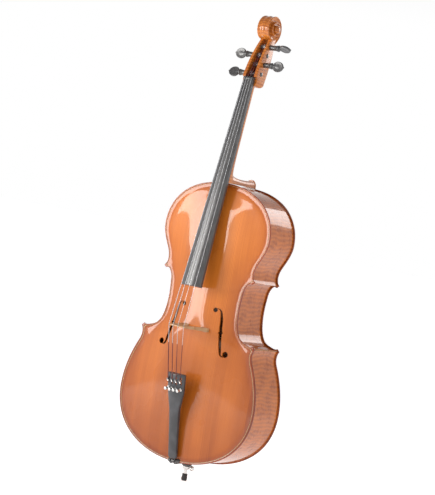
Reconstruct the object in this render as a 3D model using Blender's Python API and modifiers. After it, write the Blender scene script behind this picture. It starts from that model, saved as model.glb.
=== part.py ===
"""A full-size cello, upright on its retracted end pin.

The frame is metres with +Z up. The origin is the centre of the end pin's rubber foot. The front
(the spruce top) faces -Y, +X is the treble side and Z runs up the instrument. Sizes below are in
millimetres and are turned into metres where meshes and places are made.
"""

import math

import bmesh
import bpy
from mathutils import Matrix, Vector

MM = 0.001
GAP = 0.3  # between pieces that touch on the real cello
SMOOTH = 40.0  # edges sharper than this many degrees stay sharp
WELD = 0.00001  # metres, within which points are one

# Driving dimensions
BODY_LENGTH = 757.0
RIB_HEIGHT = 118.0
RIB_THICKNESS = 1.6
OVERHANG = 4.0  # of the plates past the ribs
PLATE_EDGE = 4.5
TOP_ARCH = 20.5  # crown above the plate's edge
BACK_ARCH = 21.5
STOP_Z = 364.0  # the bridge's line, above the bottom edge
NECK_LENGTH = 284.0  # from the body's top edge to the nut
BOARD_LENGTH = 575.0
BOARD_RADIUS = 63.0
BOARD_NUT_WIDTH, BOARD_END_WIDTH = 31.0, 62.0
BOARD_EDGE = 9.0
BOARD_OVER_TOP = 34.0  # board surface above the plate's edge, where the neck meets the body
BRIDGE_HEIGHT = 89.0
PROJECTION = 101.0  # board plane above the plate's edge, at the bridge
FOOT_DROP = 52.0  # from the body's bottom edge down to the rubber foot
STRINGS = ("c", "g", "d", "a")  # from the bass side to the treble side
STRING_RADIUS = {"c": 0.9, "g": 0.75, "d": 0.6, "a": 0.5}
STRING_NUT_X = {"c": -11.1, "g": -3.7, "d": 3.7, "a": 11.1}
STRING_BRIDGE_X = {"c": -23.4, "g": -7.8, "d": 7.8, "a": 23.4}
BRIDGE_RADIUS = 60.0
PEG_U = {"c": 22.0, "a": 50.0, "g": 77.0, "d": 103.0}  # up the peg box, from the nut
PEG_SIDE = {"c": -1, "g": -1, "d": 1, "a": 1}
PEG_TURN = {"c": 12.0, "g": -8.0, "d": 74.0, "a": 5.0}  # how each thumb piece stands at rest

TOP_EDGE_Y = -(RIB_HEIGHT / 2 + PLATE_EDGE)
BACK_EDGE_Y = -TOP_EDGE_Y
CROWN_Y = TOP_EDGE_Y - TOP_ARCH
NUT_Z = BODY_LENGTH + NECK_LENGTH
NECK_SLOPE = (PROJECTION - BOARD_OVER_TOP) / (BODY_LENGTH - STOP_Z)
NECK_ANGLE = math.atan(NECK_SLOPE)
NUT_Y = TOP_EDGE_Y - BOARD_OVER_TOP + NECK_SLOPE * NECK_LENGTH
BRIDGE_TOP_Y = CROWN_Y - BRIDGE_HEIGHT

# The right half of the outline, seen from the front, as stations of x, z, heading in degrees and
# the pull of the curve's handles. Each run goes up the instrument.
LOWER_BOUT = ((0, 0, 0, 1.12), (219, 170, 90, 1), (185, 300, 117, 1), (185.5, 339, 55, 1))
WAIST = (
    (178.5, 346, 212, 1),
    (150, 349, 165, 1),
    (120, 388, 103, 1),
    (115, 436, 90, 1),
    (118, 478, 84, 1),
    (131, 506, 40, 1),
    (141, 505, -20, 1),
)
UPPER_BOUT = ((148, 511, 140, 1), (147, 560, 62, 1), (170, 624, 90, 1), (0, BODY_LENGTH, 180, 1.15))
# The line where the plates' arching begins, without corners, station for station.
INNER_LOWER = ((0, 18, 0, 1.12), (196, 172, 90, 1), (162, 290, 112, 1), (150, 318, 118, 1))
INNER_WAIST = (
    (147, 323, 120, 1),
    (127, 345, 128, 1),
    (101, 388, 103, 1),
    (96, 436, 90, 1),
    (99, 478, 84, 1),
    (108, 502, 70, 1),
    (116, 524, 66, 1),
)
INNER_UPPER = ((118, 529, 66, 1), (128, 560, 65, 1), (149, 624, 90, 1), (0, BODY_LENGTH - 18, 180, 1.15))
LOWER_STEPS, WAIST_STEPS, UPPER_STEPS = (10, 5, 4), (3, 5, 3, 3, 4, 2), (5, 5, 10)


# ---------------------------------------------------------------- scene and materials

def clear_scene():
    for obj in list(bpy.data.objects):
        bpy.data.objects.remove(obj)


def new_collection(name):
    collection = bpy.data.collections.new(name)
    bpy.context.scene.collection.children.link(collection)
    return collection


def material(name, colour, roughness, metallic=0.0):
    made = bpy.data.materials.new(name)
    made.use_nodes = True
    shader = made.node_tree.nodes["Principled BSDF"]
    shader.inputs["Base Color"].default_value = (*colour, 1.0)
    shader.inputs["Roughness"].default_value = roughness
    shader.inputs["Metallic"].default_value = metallic
    made.diffuse_color = (*colour, 1.0)
    return made


def frame_empty(name, location, angle_x):
    """An empty whose children are modelled in its own axes, leaned about X."""
    empty = bpy.data.objects.new(name, None)
    parts.objects.link(empty)
    empty.location = Vector(location) * MM
    empty.rotation_euler = (angle_x, 0, 0)
    return empty


def place(obj, parent, location=(0, 0, 0), rotation=None):
    obj.parent = parent
    obj.location = Vector(location) * MM
    if rotation is not None:
        obj.rotation_mode = "QUATERNION"
        obj.rotation_quaternion = rotation.to_quaternion()


def finish(obj, look, smooth_angle=None):
    parts.objects.link(obj)
    obj.data.materials.clear()
    obj.data.materials.append(look)
    if smooth_angle is not None and obj.type == "MESH":
        obj.data.shade_smooth()
        obj.data.set_sharp_from_angle(angle=math.radians(smooth_angle))
    return obj


def as_cutter(obj):
    for collection in obj.users_collection:
        collection.objects.unlink(obj)
    cutters.objects.link(obj)
    obj.hide_render = True
    obj.display_type = "WIRE"
    return obj


def boolean(obj, other, operation="DIFFERENCE"):
    modifier = obj.modifiers.new(f"{operation.lower()}_{other.name}", "BOOLEAN")
    modifier.operation = operation
    modifier.object = other
    return obj


def change(obj, tool, parent, operation="DIFFERENCE"):
    """Cuts obj with a tool drawn in parent's axes, or joins the tool to it."""
    place(as_cutter(tool), parent)
    boolean(obj, tool, operation)


# ---------------------------------------------------------------- shape helpers

def mesh_object(name, points, faces):
    bm = bmesh.new()
    verts = [bm.verts.new(Vector(p) * MM) for p in points]
    for face in faces:
        bm.faces.new([verts[i] for i in face])
    bmesh.ops.recalc_face_normals(bm, faces=bm.faces)
    mesh = bpy.data.meshes.new(name)
    bm.to_mesh(mesh)
    bm.free()
    return bpy.data.objects.new(name, mesh)


def skin_faces(rows, size):
    """The faces between rows of points, each row a closed ring."""
    faces = []
    for row in range(rows - 1):
        low, high = row * size, (row + 1) * size
        for i in range(size):
            j = (i + 1) % size
            faces.append((low + i, low + j, high + j, high + i))
    return faces


def loft(name, sections):
    """A solid through closed sections of equal length, with both ends capped."""
    size = len(sections[0])
    points = [p for section in sections for p in section]
    ends = [tuple(range(size)), tuple(range(len(points) - size, len(points)))]
    return mesh_object(name, points, ends + skin_faces(len(sections), size))


def box(name, low, high):
    """A box between two corners."""
    bm = bmesh.new()
    bmesh.ops.create_cube(bm, size=1.0)
    span = Vector(high) - Vector(low)
    middle = (Vector(high) + Vector(low)) / 2
    matrix = Matrix.Translation(middle * MM) @ Matrix.Diagonal((*(span * MM), 1))
    bmesh.ops.transform(bm, verts=bm.verts, matrix=matrix)
    mesh = bpy.data.meshes.new(name)
    bm.to_mesh(mesh)
    bm.free()
    return bpy.data.objects.new(name, mesh)


def rod(name, radius, start, end, sides=16):
    """A straight cylinder between two points."""
    start, end = Vector(start) * MM, Vector(end) * MM
    bm = bmesh.new()
    depth = (end - start).length
    bmesh.ops.create_cone(
        bm, cap_ends=True, segments=sides, radius1=radius * MM, radius2=radius * MM, depth=depth
    )
    turn = (end - start).to_track_quat("Z", "Y").to_matrix().to_4x4()
    bmesh.ops.transform(bm, verts=bm.verts, matrix=Matrix.Translation((start + end) / 2) @ turn)
    mesh = bpy.data.meshes.new(name)
    bm.to_mesh(mesh)
    bm.free()
    return bpy.data.objects.new(name, mesh)


def turned(name, profile, steps=20):
    """A turned shape about Z. The profile of (radius, height) runs down its outer side."""
    closed = profile[0] == profile[-1]
    mesh = bpy.data.meshes.new(name)
    points = profile[:-1] if closed else profile
    edges = [(i, (i + 1) % len(points)) for i in range(len(profile) - 1)]
    mesh.from_pydata([(r * MM, 0, z * MM) for r, z in points], edges, [])
    obj = bpy.data.objects.new(name, mesh)
    screw = obj.modifiers.new("turn", "SCREW")
    screw.steps = screw.render_steps = steps
    screw.use_merge_vertices = True
    screw.merge_threshold = WELD
    screw.use_smooth_shade = True
    return obj


def flat_outline(name, loops, thickness, y_middle=0.0):
    """A plate in the XZ plane, from closed loops of (x, z), the first the outside."""
    curve = bpy.data.curves.new(name, "CURVE")
    curve.dimensions = "2D"
    curve.fill_mode = "BOTH"
    curve.extrude = thickness / 2 * MM
    for loop in loops:
        spline = curve.splines.new("POLY")
        spline.points.add(len(loop) - 1)
        for point, (x, z) in zip(spline.points, loop):
            point.co = (x * MM, z * MM, 0, 1)
        spline.use_cyclic_u = True
    flat = bpy.data.objects.new(name + "_flat", curve)
    bpy.context.scene.collection.objects.link(flat)
    flat.rotation_euler = (math.pi / 2, 0, 0)
    flat.location = (0, y_middle * MM, 0)
    bpy.context.view_layer.update()
    evaluated = flat.evaluated_get(bpy.context.evaluated_depsgraph_get())
    mesh = bpy.data.meshes.new_from_object(evaluated)
    mesh.transform(flat.matrix_world)
    bm = bmesh.new()
    bm.from_mesh(mesh)
    bmesh.ops.remove_doubles(bm, verts=bm.verts, dist=WELD)
    bmesh.ops.recalc_face_normals(bm, faces=bm.faces)
    bm.to_mesh(mesh)
    bm.free()
    bpy.data.objects.remove(flat)
    bpy.data.curves.remove(curve)
    mesh.name = name
    return bpy.data.objects.new(name, mesh)


def ribbon(name, path, height, y_middle, thickness):
    """A bent strip: a flat curve of (x, z) drawn out along Y, thickened on its left side."""
    curve = bpy.data.curves.new(name, "CURVE")
    curve.dimensions = "2D"
    curve.fill_mode = "NONE"
    curve.extrude = height / 2 * MM
    spline = curve.splines.new("POLY")
    spline.points.add(len(path) - 1)
    for point, (x, z) in zip(spline.points, path):
        point.co = (x * MM, z * MM, 0, 1)
    obj = bpy.data.objects.new(name, curve)
    solid = obj.modifiers.new("thickness", "SOLIDIFY")
    solid.thickness = thickness * MM
    solid.offset = 1.0
    solid.use_even_offset = True
    obj.rotation_mode = "QUATERNION"
    obj.rotation_quaternion = Matrix.Rotation(math.pi / 2, 3, "X").to_quaternion()
    obj.location = (0, y_middle * MM, 0)
    return obj


def tube(name, points, radius, resolution=1):
    """A cord or wire through points."""
    curve = bpy.data.curves.new(name, "CURVE")
    curve.dimensions = "3D"
    curve.bevel_depth = radius * MM
    curve.bevel_resolution = resolution
    curve.use_fill_caps = True
    spline = curve.splines.new("POLY")
    spline.points.add(len(points) - 1)
    for point, place_mm in zip(spline.points, points):
        point.co = (*(Vector(place_mm) * MM), 1)
    return bpy.data.objects.new(name, curve)


def catmull_rom(a, b, c, d, t):
    """A point between b and c."""
    straight = 2 * b + (c - a) * t
    bend = (2 * a - 5 * b + 4 * c - d) * t**2 + (3 * b - a - 3 * c + d) * t**3
    return 0.5 * (straight + bend)


def smooth_path(points, steps):
    """A smooth curve through points."""
    ends = [points[0] * 2 - points[1], *points, points[-1] * 2 - points[-2]]
    path = []
    for a, b, c, d in zip(ends, ends[1:], ends[2:], ends[3:]):
        path += [catmull_rom(a, b, c, d, step / steps) for step in range(steps)]
    return [*path, points[-1]]


def sagitta(radius, x):
    return radius - math.sqrt(radius**2 - x**2)


# ---------------------------------------------------------------- outline

def heading_vector(degrees):
    return Vector((math.cos(math.radians(degrees)), math.sin(math.radians(degrees))))


def bezier_run(start, end, steps):
    """Points of a cubic curve between two stations, near to an arc where their headings allow."""
    a, b = Vector(start[:2]), Vector(end[:2])
    turn = math.radians(abs((end[2] - start[2] + 180) % 360 - 180))
    share = 4 / 3 * math.tan(turn / 4) / (2 * math.sin(turn / 2)) if turn > 0.05 else 1 / 3
    reach = (b - a).length * share
    c = a + heading_vector(start[2]) * reach * start[3]
    d = b - heading_vector(end[2]) * reach * end[3]
    found = []
    for step in range(steps + 1):
        t = step / steps
        found.append((1 - t) ** 3 * a + 3 * (1 - t) ** 2 * t * c + 3 * (1 - t) * t**2 * d + t**3 * b)
    return found


def running_lengths(path):
    """The length along the path to each of its points."""
    lengths = [0.0]
    for a, b in zip(path, path[1:]):
        lengths.append(lengths[-1] + (b - a).length)
    return lengths


def run_points(stations, steps):
    path = [Vector(stations[0][:2])]
    for start, end, count in zip(stations, stations[1:], steps):
        path += bezier_run(start, end, count)[1:]
    return path


def offset(path, distance):
    """The path moved to its left, into the body."""
    moved = []
    for i, point in enumerate(path):
        before = path[max(i - 1, 0)]
        after = path[min(i + 1, len(path) - 1)]
        along = (after - before).normalized()
        moved.append(point + Vector((-along.y, along.x)) * distance)
    return moved


def trimmed(path, from_start, from_end):
    """The path without a length at each end."""
    lengths = running_lengths(path)

    def at(distance):
        for i, (low, high) in enumerate(zip(lengths, lengths[1:])):
            if distance <= high:
                return path[i].lerp(path[i + 1], (distance - low) / (high - low))
        return path[-1].copy()

    first, last = from_start, lengths[-1] - from_end
    middle = [p for p, length in zip(path, lengths) if first + 0.5 < length < last - 0.5]
    return [at(first), *middle, at(last)]


def mirrored(path):
    return [Vector((-p.x, p.y)) for p in reversed(path)]


def crossing(first, second):
    """Where two paths cross: the index of each one's segment, and the place."""
    for i, (a, b) in enumerate(zip(first, first[1:])):
        for j, (c, d) in enumerate(zip(second, second[1:])):
            r, s, w = b - a, d - c, c - a
            cross = r.cross(s)
            if abs(cross) < 1e-9:
                continue
            t, u = w.cross(s) / cross, w.cross(r) / cross
            if 0 <= t <= 1 and 0 <= u <= 1:
                return i, j, a + r * t
    return None


RUNS = {
    "lower": run_points(LOWER_BOUT, LOWER_STEPS),
    "waist": run_points(WAIST, WAIST_STEPS),
    "upper": run_points(UPPER_BOUT, UPPER_STEPS),
}


def half_outline():
    """The treble side's outline, from the bottom centre to the top centre."""
    return RUNS["lower"] + RUNS["waist"] + RUNS["upper"]


def half_arch_line():
    """The line where the arching begins, point for point with the outline."""
    runs = ((INNER_LOWER, LOWER_STEPS), (INNER_WAIST, WAIST_STEPS), (INNER_UPPER, UPPER_STEPS))
    return [point for stations, steps in runs for point in run_points(stations, steps)]


def both_sides(right):
    """A closed loop from the bottom centre, up the treble side and down the bass side."""
    return right + [Vector((-p.x, p.y)) for p in reversed(right[1:-1])]


# ---------------------------------------------------------------- arched plates

SPINE_LOW, SPINE_HIGH = 150.0, 640.0  # the ends of the crown, on the centre line
RIM_SHARE = 0.4  # of the way in to the arch line, the plate stays flat
RINGS = (0.3, 0.62, 1.0)  # shares of the way from the arch line to the spine
ARCH_RISE = 0.12  # the share of the arch's reach that lies outside the arch line
SPINE_FALL = 0.16  # how much lower the arch is at the spine's ends


def spine_heights(arch_line):
    """For each point of the arch line, the height on the centre line its section runs to."""
    lengths = running_lengths(arch_line)
    low, high = arch_line[0].y, arch_line[-1].y
    found = []
    for point, length in zip(arch_line, lengths):
        share = 0.5 * (point.y - low) / (high - low) + 0.5 * length / lengths[-1]
        found.append(SPINE_LOW + (SPINE_HIGH - SPINE_LOW) * share)
    return found


def arch_height(share, spine_z, arch):
    """Height over the edge at a share of the way from the rim to the crown."""
    middle = (SPINE_LOW + SPINE_HIGH) / 2
    crown = arch * (1 - SPINE_FALL * ((spine_z - middle) / (SPINE_HIGH - middle)) ** 2)
    return crown * (0.5 - 0.5 * math.cos(math.pi * share**0.8))


def plate_surface(name, edge_y, arch, outward):
    """The plate's outer face: rings from the outline in to the crown, thickened inwards."""
    outline, line = both_sides(half_outline()), both_sides(half_arch_line())
    half = spine_heights(half_arch_line())
    spine = half + half[-2:0:-1]
    rings = [[(p.x, edge_y, p.y) for p in outline]]
    rings.append([(q.x, edge_y, q.y) for q in (p.lerp(r, RIM_SHARE) for p, r in zip(outline, line))])
    for ring in (0.0, *RINGS):
        height = [outward * arch_height(ARCH_RISE + (1 - ARCH_RISE) * ring, z, arch) for z in spine]
        flat = [p.lerp(Vector((0, z)), ring) for p, z in zip(line, spine)]
        rings.append([(q.x, edge_y + h, q.y) for q, h in zip(flat, height)])
    count = len(outline)
    obj = mesh_object(name, [p for ring in rings for p in ring], skin_faces(len(rings), count))
    bm = bmesh.new()
    bm.from_mesh(obj.data)
    bmesh.ops.remove_doubles(bm, verts=bm.verts, dist=0.00005)
    bmesh.ops.recalc_face_normals(bm, faces=bm.faces)
    if sum(face.normal.y for face in bm.faces) * outward < 0:
        bmesh.ops.reverse_faces(bm, faces=bm.faces)
    bm.to_mesh(obj.data)
    bm.free()
    solid = obj.modifiers.new("thickness", "SOLIDIFY")
    solid.thickness = (PLATE_EDGE - GAP) * MM
    solid.offset = -1.0
    return obj


# ---------------------------------------------------------------- sound holes

F_UPPER_EYE = (-51.0, 421.0, 6.2)
F_LOWER_EYE = (-104.0, 310.0, 8.0)
F_STEM = ((-57, 426.5), (-66, 421), (-71, 405), (-75, 378), (-80, 350), (-86, 322), (-91, 306), (-100, 302.5))
F_WIDTHS = (1.2, 3.6, 6.4, 8.0, 8.4, 7.4, 4.6, 1.4)
CUTTER_DEPTH = 60.0  # enough to go right through the plate wherever it is


def sound_hole_loops():
    """The bass side's stem and its two round eyes, each a closed loop of (x, z)."""
    middle = smooth_path([Vector(p) for p in F_STEM], 3)
    widths = smooth_path([Vector((w, 0)) for w in F_WIDTHS], 3)
    left, right = [], []
    for i, point in enumerate(middle):
        along = (middle[min(i + 1, len(middle) - 1)] - middle[max(i - 1, 0)]).normalized()
        side = Vector((-along.y, along.x)) * widths[i].x / 2
        left.append(point + side)
        right.append(point - side)
    stem = left + right[::-1]
    eyes = []
    for x, z, radius in (F_UPPER_EYE, F_LOWER_EYE):
        angles = [math.radians(step * 30) for step in range(12)]
        eyes.append([(x + radius * math.cos(t), z + radius * math.sin(t)) for t in angles])
    return [[tuple(p) for p in stem], *eyes]


def cut_sound_holes(plate):
    for side, sign in (("bass", 1), ("treble", -1)):
        for i, loop in enumerate(sound_hole_loops()):
            sided = [(x * sign, z) for x, z in loop]
            hole = flat_outline(f"f_hole_{side}_{i}", [sided], CUTTER_DEPTH, TOP_EDGE_Y)
            change(plate, hole, body_frame)


# ---------------------------------------------------------------- body

BUTTON_RADIUS, BUTTON_TOP = 15.0, 780.0
BUTTON_ROOT = 6.0  # how far the button's neck runs down into the plate
SADDLE_HALF, SADDLE_DEPTH, SADDLE_RISE = 19.0, 9.0, 9.0
TENON_HALF, TENON_Z = 14.0, 738.0
PLUG_RADIUS = 12.2
# How far the ribs stop short of the plate's corners, at their lower and upper ends.
RIB_TRIMS = {"lower": (GAP, 1.9), "waist": (1.0, 3.4), "upper": (3.4, TENON_HALF + 2 * GAP)}
LINING_HEIGHT, LINING_THICKNESS = 10.0, 3.0
# The linings end at the blocks.
LINING_TRIMS = {"lower": (36.0, 44.0), "waist": (44.0, 36.0), "upper": (42.0, 44.0)}
CORNER_REACH = {"lower": (30.0, 34.0), "upper": (24.0, 34.0)}  # along each rib, from the tip
END_BLOCK = (30.0, 32.0)  # half width, and how far up it reaches
NECK_BLOCK = (36.0, 716.0)  # half width, and how far down it reaches
BAR_LENGTH, BAR_TOP_Z = 560.0, 640.0
BAR_X, BAR_X_RISE = -30.0, 6.0  # at its lower end, and how much nearer the centre at its upper end
BAR_CLEARANCE = (4.0, 7.0)  # under the arch's middle, and more towards its ends
BAR_HEIGHT = (5.0, 17.0)  # at its ends, and how much more in the middle
BAR_HALF = (5.0, 4.0)  # half widths at the top and at its free edge
CROWN_INSIDE = CROWN_Y + PLATE_EDGE
POST_X, POST_BELOW_BRIDGE, POST_RADIUS = 26.0, 14.0, 5.5
POST_TOP_DROP, POST_BACK_DROP = 2.1, 1.2  # the arches' fall from their crowns at the post


def make_top_plate():
    """The arched spruce top, with its sound holes and a notch for the saddle."""
    top = finish(plate_surface("top_plate", TOP_EDGE_Y, TOP_ARCH, -1), looks["spruce"], SMOOTH)
    place(top, body_frame)
    cut_sound_holes(top)
    reach = CUTTER_DEPTH / 2
    low = (-SADDLE_HALF - GAP, TOP_EDGE_Y - reach, -reach)
    high = (SADDLE_HALF + GAP, TOP_EDGE_Y + reach, SADDLE_DEPTH + GAP)
    change(top, box("saddle_notch", low, high), body_frame)


def make_back_plate():
    back = finish(plate_surface("back_plate", BACK_EDGE_Y, BACK_ARCH, 1), looks["maple"], SMOOTH)
    place(back, body_frame)
    add_button(back)


def add_button(back):
    """The half-round tab on the back plate that the heel is glued to."""
    low, high = BACK_EDGE_Y - PLATE_EDGE + GAP, BACK_EDGE_Y
    arc = [math.radians(step * 22.5) for step in range(9)]
    centre = BUTTON_TOP - BUTTON_RADIUS
    root = BODY_LENGTH - BUTTON_ROOT
    outline = [(BUTTON_RADIUS * math.cos(t), centre + BUTTON_RADIUS * math.sin(t)) for t in arc]
    outline += [(-BUTTON_RADIUS - 1, root), (BUTTON_RADIUS + 1, root)]
    thickness = high - low - 0.02  # a hair less than the plate's, so that no faces coincide
    change(back, flat_outline("button", [outline], thickness, (low + high) / 2), body_frame, "UNION")


def make_ribs():
    """Six bent ribs. Each is drawn on its outer face and thickened inwards."""
    for run, (start, end) in RIB_TRIMS.items():
        path = trimmed(offset(RUNS[run], OVERHANG), start, end)
        for side in ("treble", "bass"):
            points = path if side == "treble" else mirrored(path)
            rib = ribbon(f"rib_{run}_{side}", points, RIB_HEIGHT - 2 * GAP, 0, RIB_THICKNESS)
            finish(rib, looks["maple"])
            rib.parent = body_frame
            if run == "lower":
                boolean_on_curve(rib, plug_hole)


def boolean_on_curve(obj, cutter):
    """Turns a curve piece into a mesh, keeping its name and place, and cuts it."""
    bpy.context.view_layer.update()
    mesh = bpy.data.meshes.new_from_object(obj.evaluated_get(bpy.context.evaluated_depsgraph_get()))
    bm = bmesh.new()
    bm.from_mesh(mesh)
    bmesh.ops.remove_doubles(bm, verts=bm.verts, dist=WELD)
    bm.to_mesh(mesh)
    bm.free()
    name, look = obj.name, obj.data.materials[0]
    world = obj.matrix_world.copy()
    curve = obj.data
    bpy.data.objects.remove(obj)
    bpy.data.curves.remove(curve)
    made = bpy.data.objects.new(name, mesh)
    finish(made, look)
    made.parent = body_frame
    made.matrix_parent_inverse = body_frame.matrix_world.inverted()
    made.matrix_world = world
    boolean(made, cutter)


def make_linings():
    """A strip along each rib's inner face, at the top and at the back."""
    inner = OVERHANG + RIB_THICKNESS + GAP
    height = RIB_HEIGHT / 2 - GAP - LINING_HEIGHT / 2
    for run, (start, end) in LINING_TRIMS.items():
        path = trimmed(offset(RUNS[run], inner), start, end)
        for face, middle in (("top", -height), ("back", height)):
            for side in ("treble", "bass"):
                points = path if side == "treble" else mirrored(path)
                strip = ribbon(f"lining_{face}_{run}_{side}", points, LINING_HEIGHT, middle, LINING_THICKNESS)
                finish(strip, looks["willow"])
                strip.parent = body_frame


def make_block(name, shape):
    """A block as high as the ribs, from its outline of (x, z)."""
    block = finish(flat_outline(name, [shape], RIB_HEIGHT - 2 * GAP), looks["willow"])
    place(block, body_frame)
    return block


def make_corner_block(where, below, above):
    """The block between two ribs' inner faces, from their crossing a little way down each."""
    i, j, tip = crossing(below, above)
    low = [*below[: i + 1], tip]
    high = [tip, *above[j + 1 :]]
    reach_low, reach_high = CORNER_REACH[where]
    first = trimmed(low, running_lengths(low)[-1] - reach_low, 0)
    second = trimmed(high, 0, running_lengths(high)[-1] - reach_high)
    shape = [*first, *second[1:]]
    for side, sign in (("treble", 1), ("bass", -1)):
        make_block(f"corner_block_{where}_{side}", [(p.x * sign, p.y) for p in shape])


def make_blocks():
    """Blocks that hold the ribs' ends: one at each corner, one at the neck and one at the pin."""
    inner = OVERHANG + RIB_THICKNESS + 2 * GAP
    lower, waist, upper = (offset(RUNS[run], inner) for run in ("lower", "waist", "upper"))
    make_corner_block("lower", lower, waist)
    make_corner_block("upper", waist, upper)

    half, top = END_BLOCK
    edge = [p for p in lower if p.x < half]
    edge.append(Vector((half, edge[-1].y + 1.0)))
    shape = [(-p.x, p.y) for p in reversed(edge)] + [(p.x, p.y) for p in edge[1:]]
    end_block = make_block("end_block", [*shape, (half, top), (-half, top)])
    boolean(end_block, plug_hole)

    half, bottom = NECK_BLOCK
    edge = [p for p in upper if p.x < half and p.y > BODY_LENGTH / 2]
    edge.insert(0, Vector((half, edge[0].y - 2.0)))
    shape = [(p.x, p.y) for p in edge] + [(-p.x, p.y) for p in reversed(edge[:-1])]
    neck_block = make_block("neck_block", [*shape, (-half, bottom), (half, bottom)])
    low = (-TENON_HALF - GAP, -RIB_HEIGHT, TENON_Z - GAP)
    high = (TENON_HALF + GAP, RIB_HEIGHT, BODY_LENGTH)
    change(neck_block, box("mortise", low, high), body_frame)


def make_bass_bar():
    """The bar glued along the top's inside, under the bridge's bass foot. Its ends are shallow."""
    steps = 8
    sections = []
    for step in range(steps + 1):
        t = step / steps
        z = BAR_TOP_Z - BAR_LENGTH * (1 - t)
        x = BAR_X + BAR_X_RISE * t
        top = CROWN_INSIDE + BAR_CLEARANCE[0] + BAR_CLEARANCE[1] * (2 * t - 1) ** 2
        low = top + BAR_HEIGHT[0] + BAR_HEIGHT[1] * math.sin(math.pi * t)
        wide, narrow = BAR_HALF
        sections.append([(x - wide, top, z), (x + wide, top, z), (x + narrow, low, z), (x - narrow, low, z)])
    bar = finish(loft("bass_bar", sections), looks["spruce_bare"])
    place(bar, body_frame)


def make_sound_post():
    """The dowel that stands between the plates, just below the bridge's treble foot."""
    z = STOP_Z - POST_BELOW_BRIDGE
    front = (POST_X, CROWN_INSIDE + POST_TOP_DROP, z)
    back = (POST_X, -CROWN_INSIDE - POST_BACK_DROP, z)
    post = finish(rod("sound_post", POST_RADIUS, front, back), looks["spruce_bare"], SMOOTH)
    place(post, body_frame)


def make_saddle():
    """The ebony block at the bottom edge that the tail cord bends over."""
    bottom = -RIB_HEIGHT / 2
    top = TOP_EDGE_Y - SADDLE_RISE
    crest = [(top + 5, -1.6), (top + 1.6, -0.6), (top, 2.4), (top + 0.8, 5.2), (top + 4.5, 8.0)]
    profile = [(bottom, -1.0), *crest, (bottom, SADDLE_DEPTH)]
    inner = SADDLE_HALF - 6
    sections = []
    ends = 0.55  # the share of its height left at its ends
    for x, rise in ((-SADDLE_HALF, ends), (-inner, 1.0), (inner, 1.0), (SADDLE_HALF, ends)):
        sections.append([(x, bottom + (y - bottom) * rise, z) for y, z in profile])
    saddle = finish(loft("saddle", sections), looks["ebony"], SMOOTH)
    place(saddle, body_frame)


# ---------------------------------------------------------------- neck, peg box and scroll

NUT_DEPTH, NUT_LIFT = 8.0, 1.2  # along the neck, and over the board
NUT_SEAT = 1.0  # how much higher the nut sits than the board's underside
PEG_RADIUS = 6.9
PEG_CLEARANCE = 0.55
PEG_SHARE = 0.38  # of the way from the peg box walls' front edge to its back
# The neck's back: u and depth down the shaft, then the heel's sections. Those under the board start
# at a place u along it. Those over the body start at a y. Each runs to a back point of (y, z).
SHAFT = ((2.0, 31.0), (-20, 29.0), (-110, 30.0), (-200, 31.6), (-228, 33.0))
HEEL_UNDER_BOARD = ((-256, (-55.0, 791.0)), (-275, (-51.0, 784.0)), (-285.3, (-43.5, 779.8)))
HEEL_OVER_BODY = (
    (-66, (-33.5, 777.0), 22.0),
    (-45, (-17.0, 774.8), 20.0),
    (-10, (5.0, 773.8), 17.3),
    (30, (33.0, 774.2), 15.2),
    (RIB_HEIGHT / 2 - GAP, (RIB_HEIGHT / 2 - GAP, 776.0), 14.0),
)
TENON_INSET = 2.0  # from the plates, at both of its ends
WALL_FRONT, WALL_CURVE = 4.0, 0.0018  # the peg box walls' front edge at the nut, and how it curves back
BACK_DEPTH, BACK_SWELL = 50.0, 6.5  # the peg box's back at the nut, and how much deeper it gets
BOX_HALF, BOX_TAPER = 23.0, 6.5  # half width at the nut, and how much it loses by the top
BOX_TOP = 136.0
TROUGH_TOP = 124.0
BOX_EDGE = 7.0  # how far round the box's eased back edges reach
WALL, WALL_THINNING, FLOOR = 9.5, 2.0, 11.0  # the trough's wall at the nut, how much it loses, its floor
CHIN = 14.0  # how far the peg box's back reaches below the nut
CHIN_DEPTH, CHIN_WIDTH = 23.0, 6.5  # how much shallower and narrower it is at its end
SCROLL_EYE = (33.0, 152.0)  # back and up from the nut
SCROLL_FIRST, SCROLL_NEXT, SCROLL_SWEEP = -60.0, 70.0, 342.0  # degrees: first start, each next, arc
# The scroll's steps out to the eye: start radius, end radius as a share, half width.
SCROLL_STEPS = (
    (37.5, 0.78, 17.5),
    (29.0, 0.80, 21.0),
    (22.5, 0.75, 24.2),
    (16.5, 0.72, 27.2),
    (10.5, 0.88, 29.5),
)


def board_width(u):
    """Width at a place u up the neck's line, which is 0 at the nut and negative below it."""
    return BOARD_NUT_WIDTH + (BOARD_END_WIDTH - BOARD_NUT_WIDTH) * (-u / BOARD_LENGTH)


def board_depth(u):
    """From the board's crown line to its flat underside."""
    return BOARD_EDGE + sagitta(BOARD_RADIUS, board_width(u) / 2)


def body_point(x, back, up):
    """A point of the neck's own axes, in the body's."""
    c, s = math.cos(NECK_ANGLE), math.sin(NECK_ANGLE)
    return Vector((x, NUT_Y + back * c + up * s, NUT_Z - back * s + up * c))


def neck_section(front, back, half, squareness):
    """A section from a front line to a back point, rounder for 0 and squarer for 1."""
    points = []
    for step in range(11):
        angle = math.pi * step / 10
        across = math.copysign(abs(math.cos(angle)) ** (1.0 - 0.22 * squareness), math.cos(angle))
        reach = 0.02 + 0.98 * abs(math.sin(angle)) ** (0.82 - 0.2 * squareness)
        point = front.lerp(back, reach)
        points.append((half * across, point.y, point.z))
    return [(half, front.y, front.z), *points, (-half, front.y, front.z)]


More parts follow.
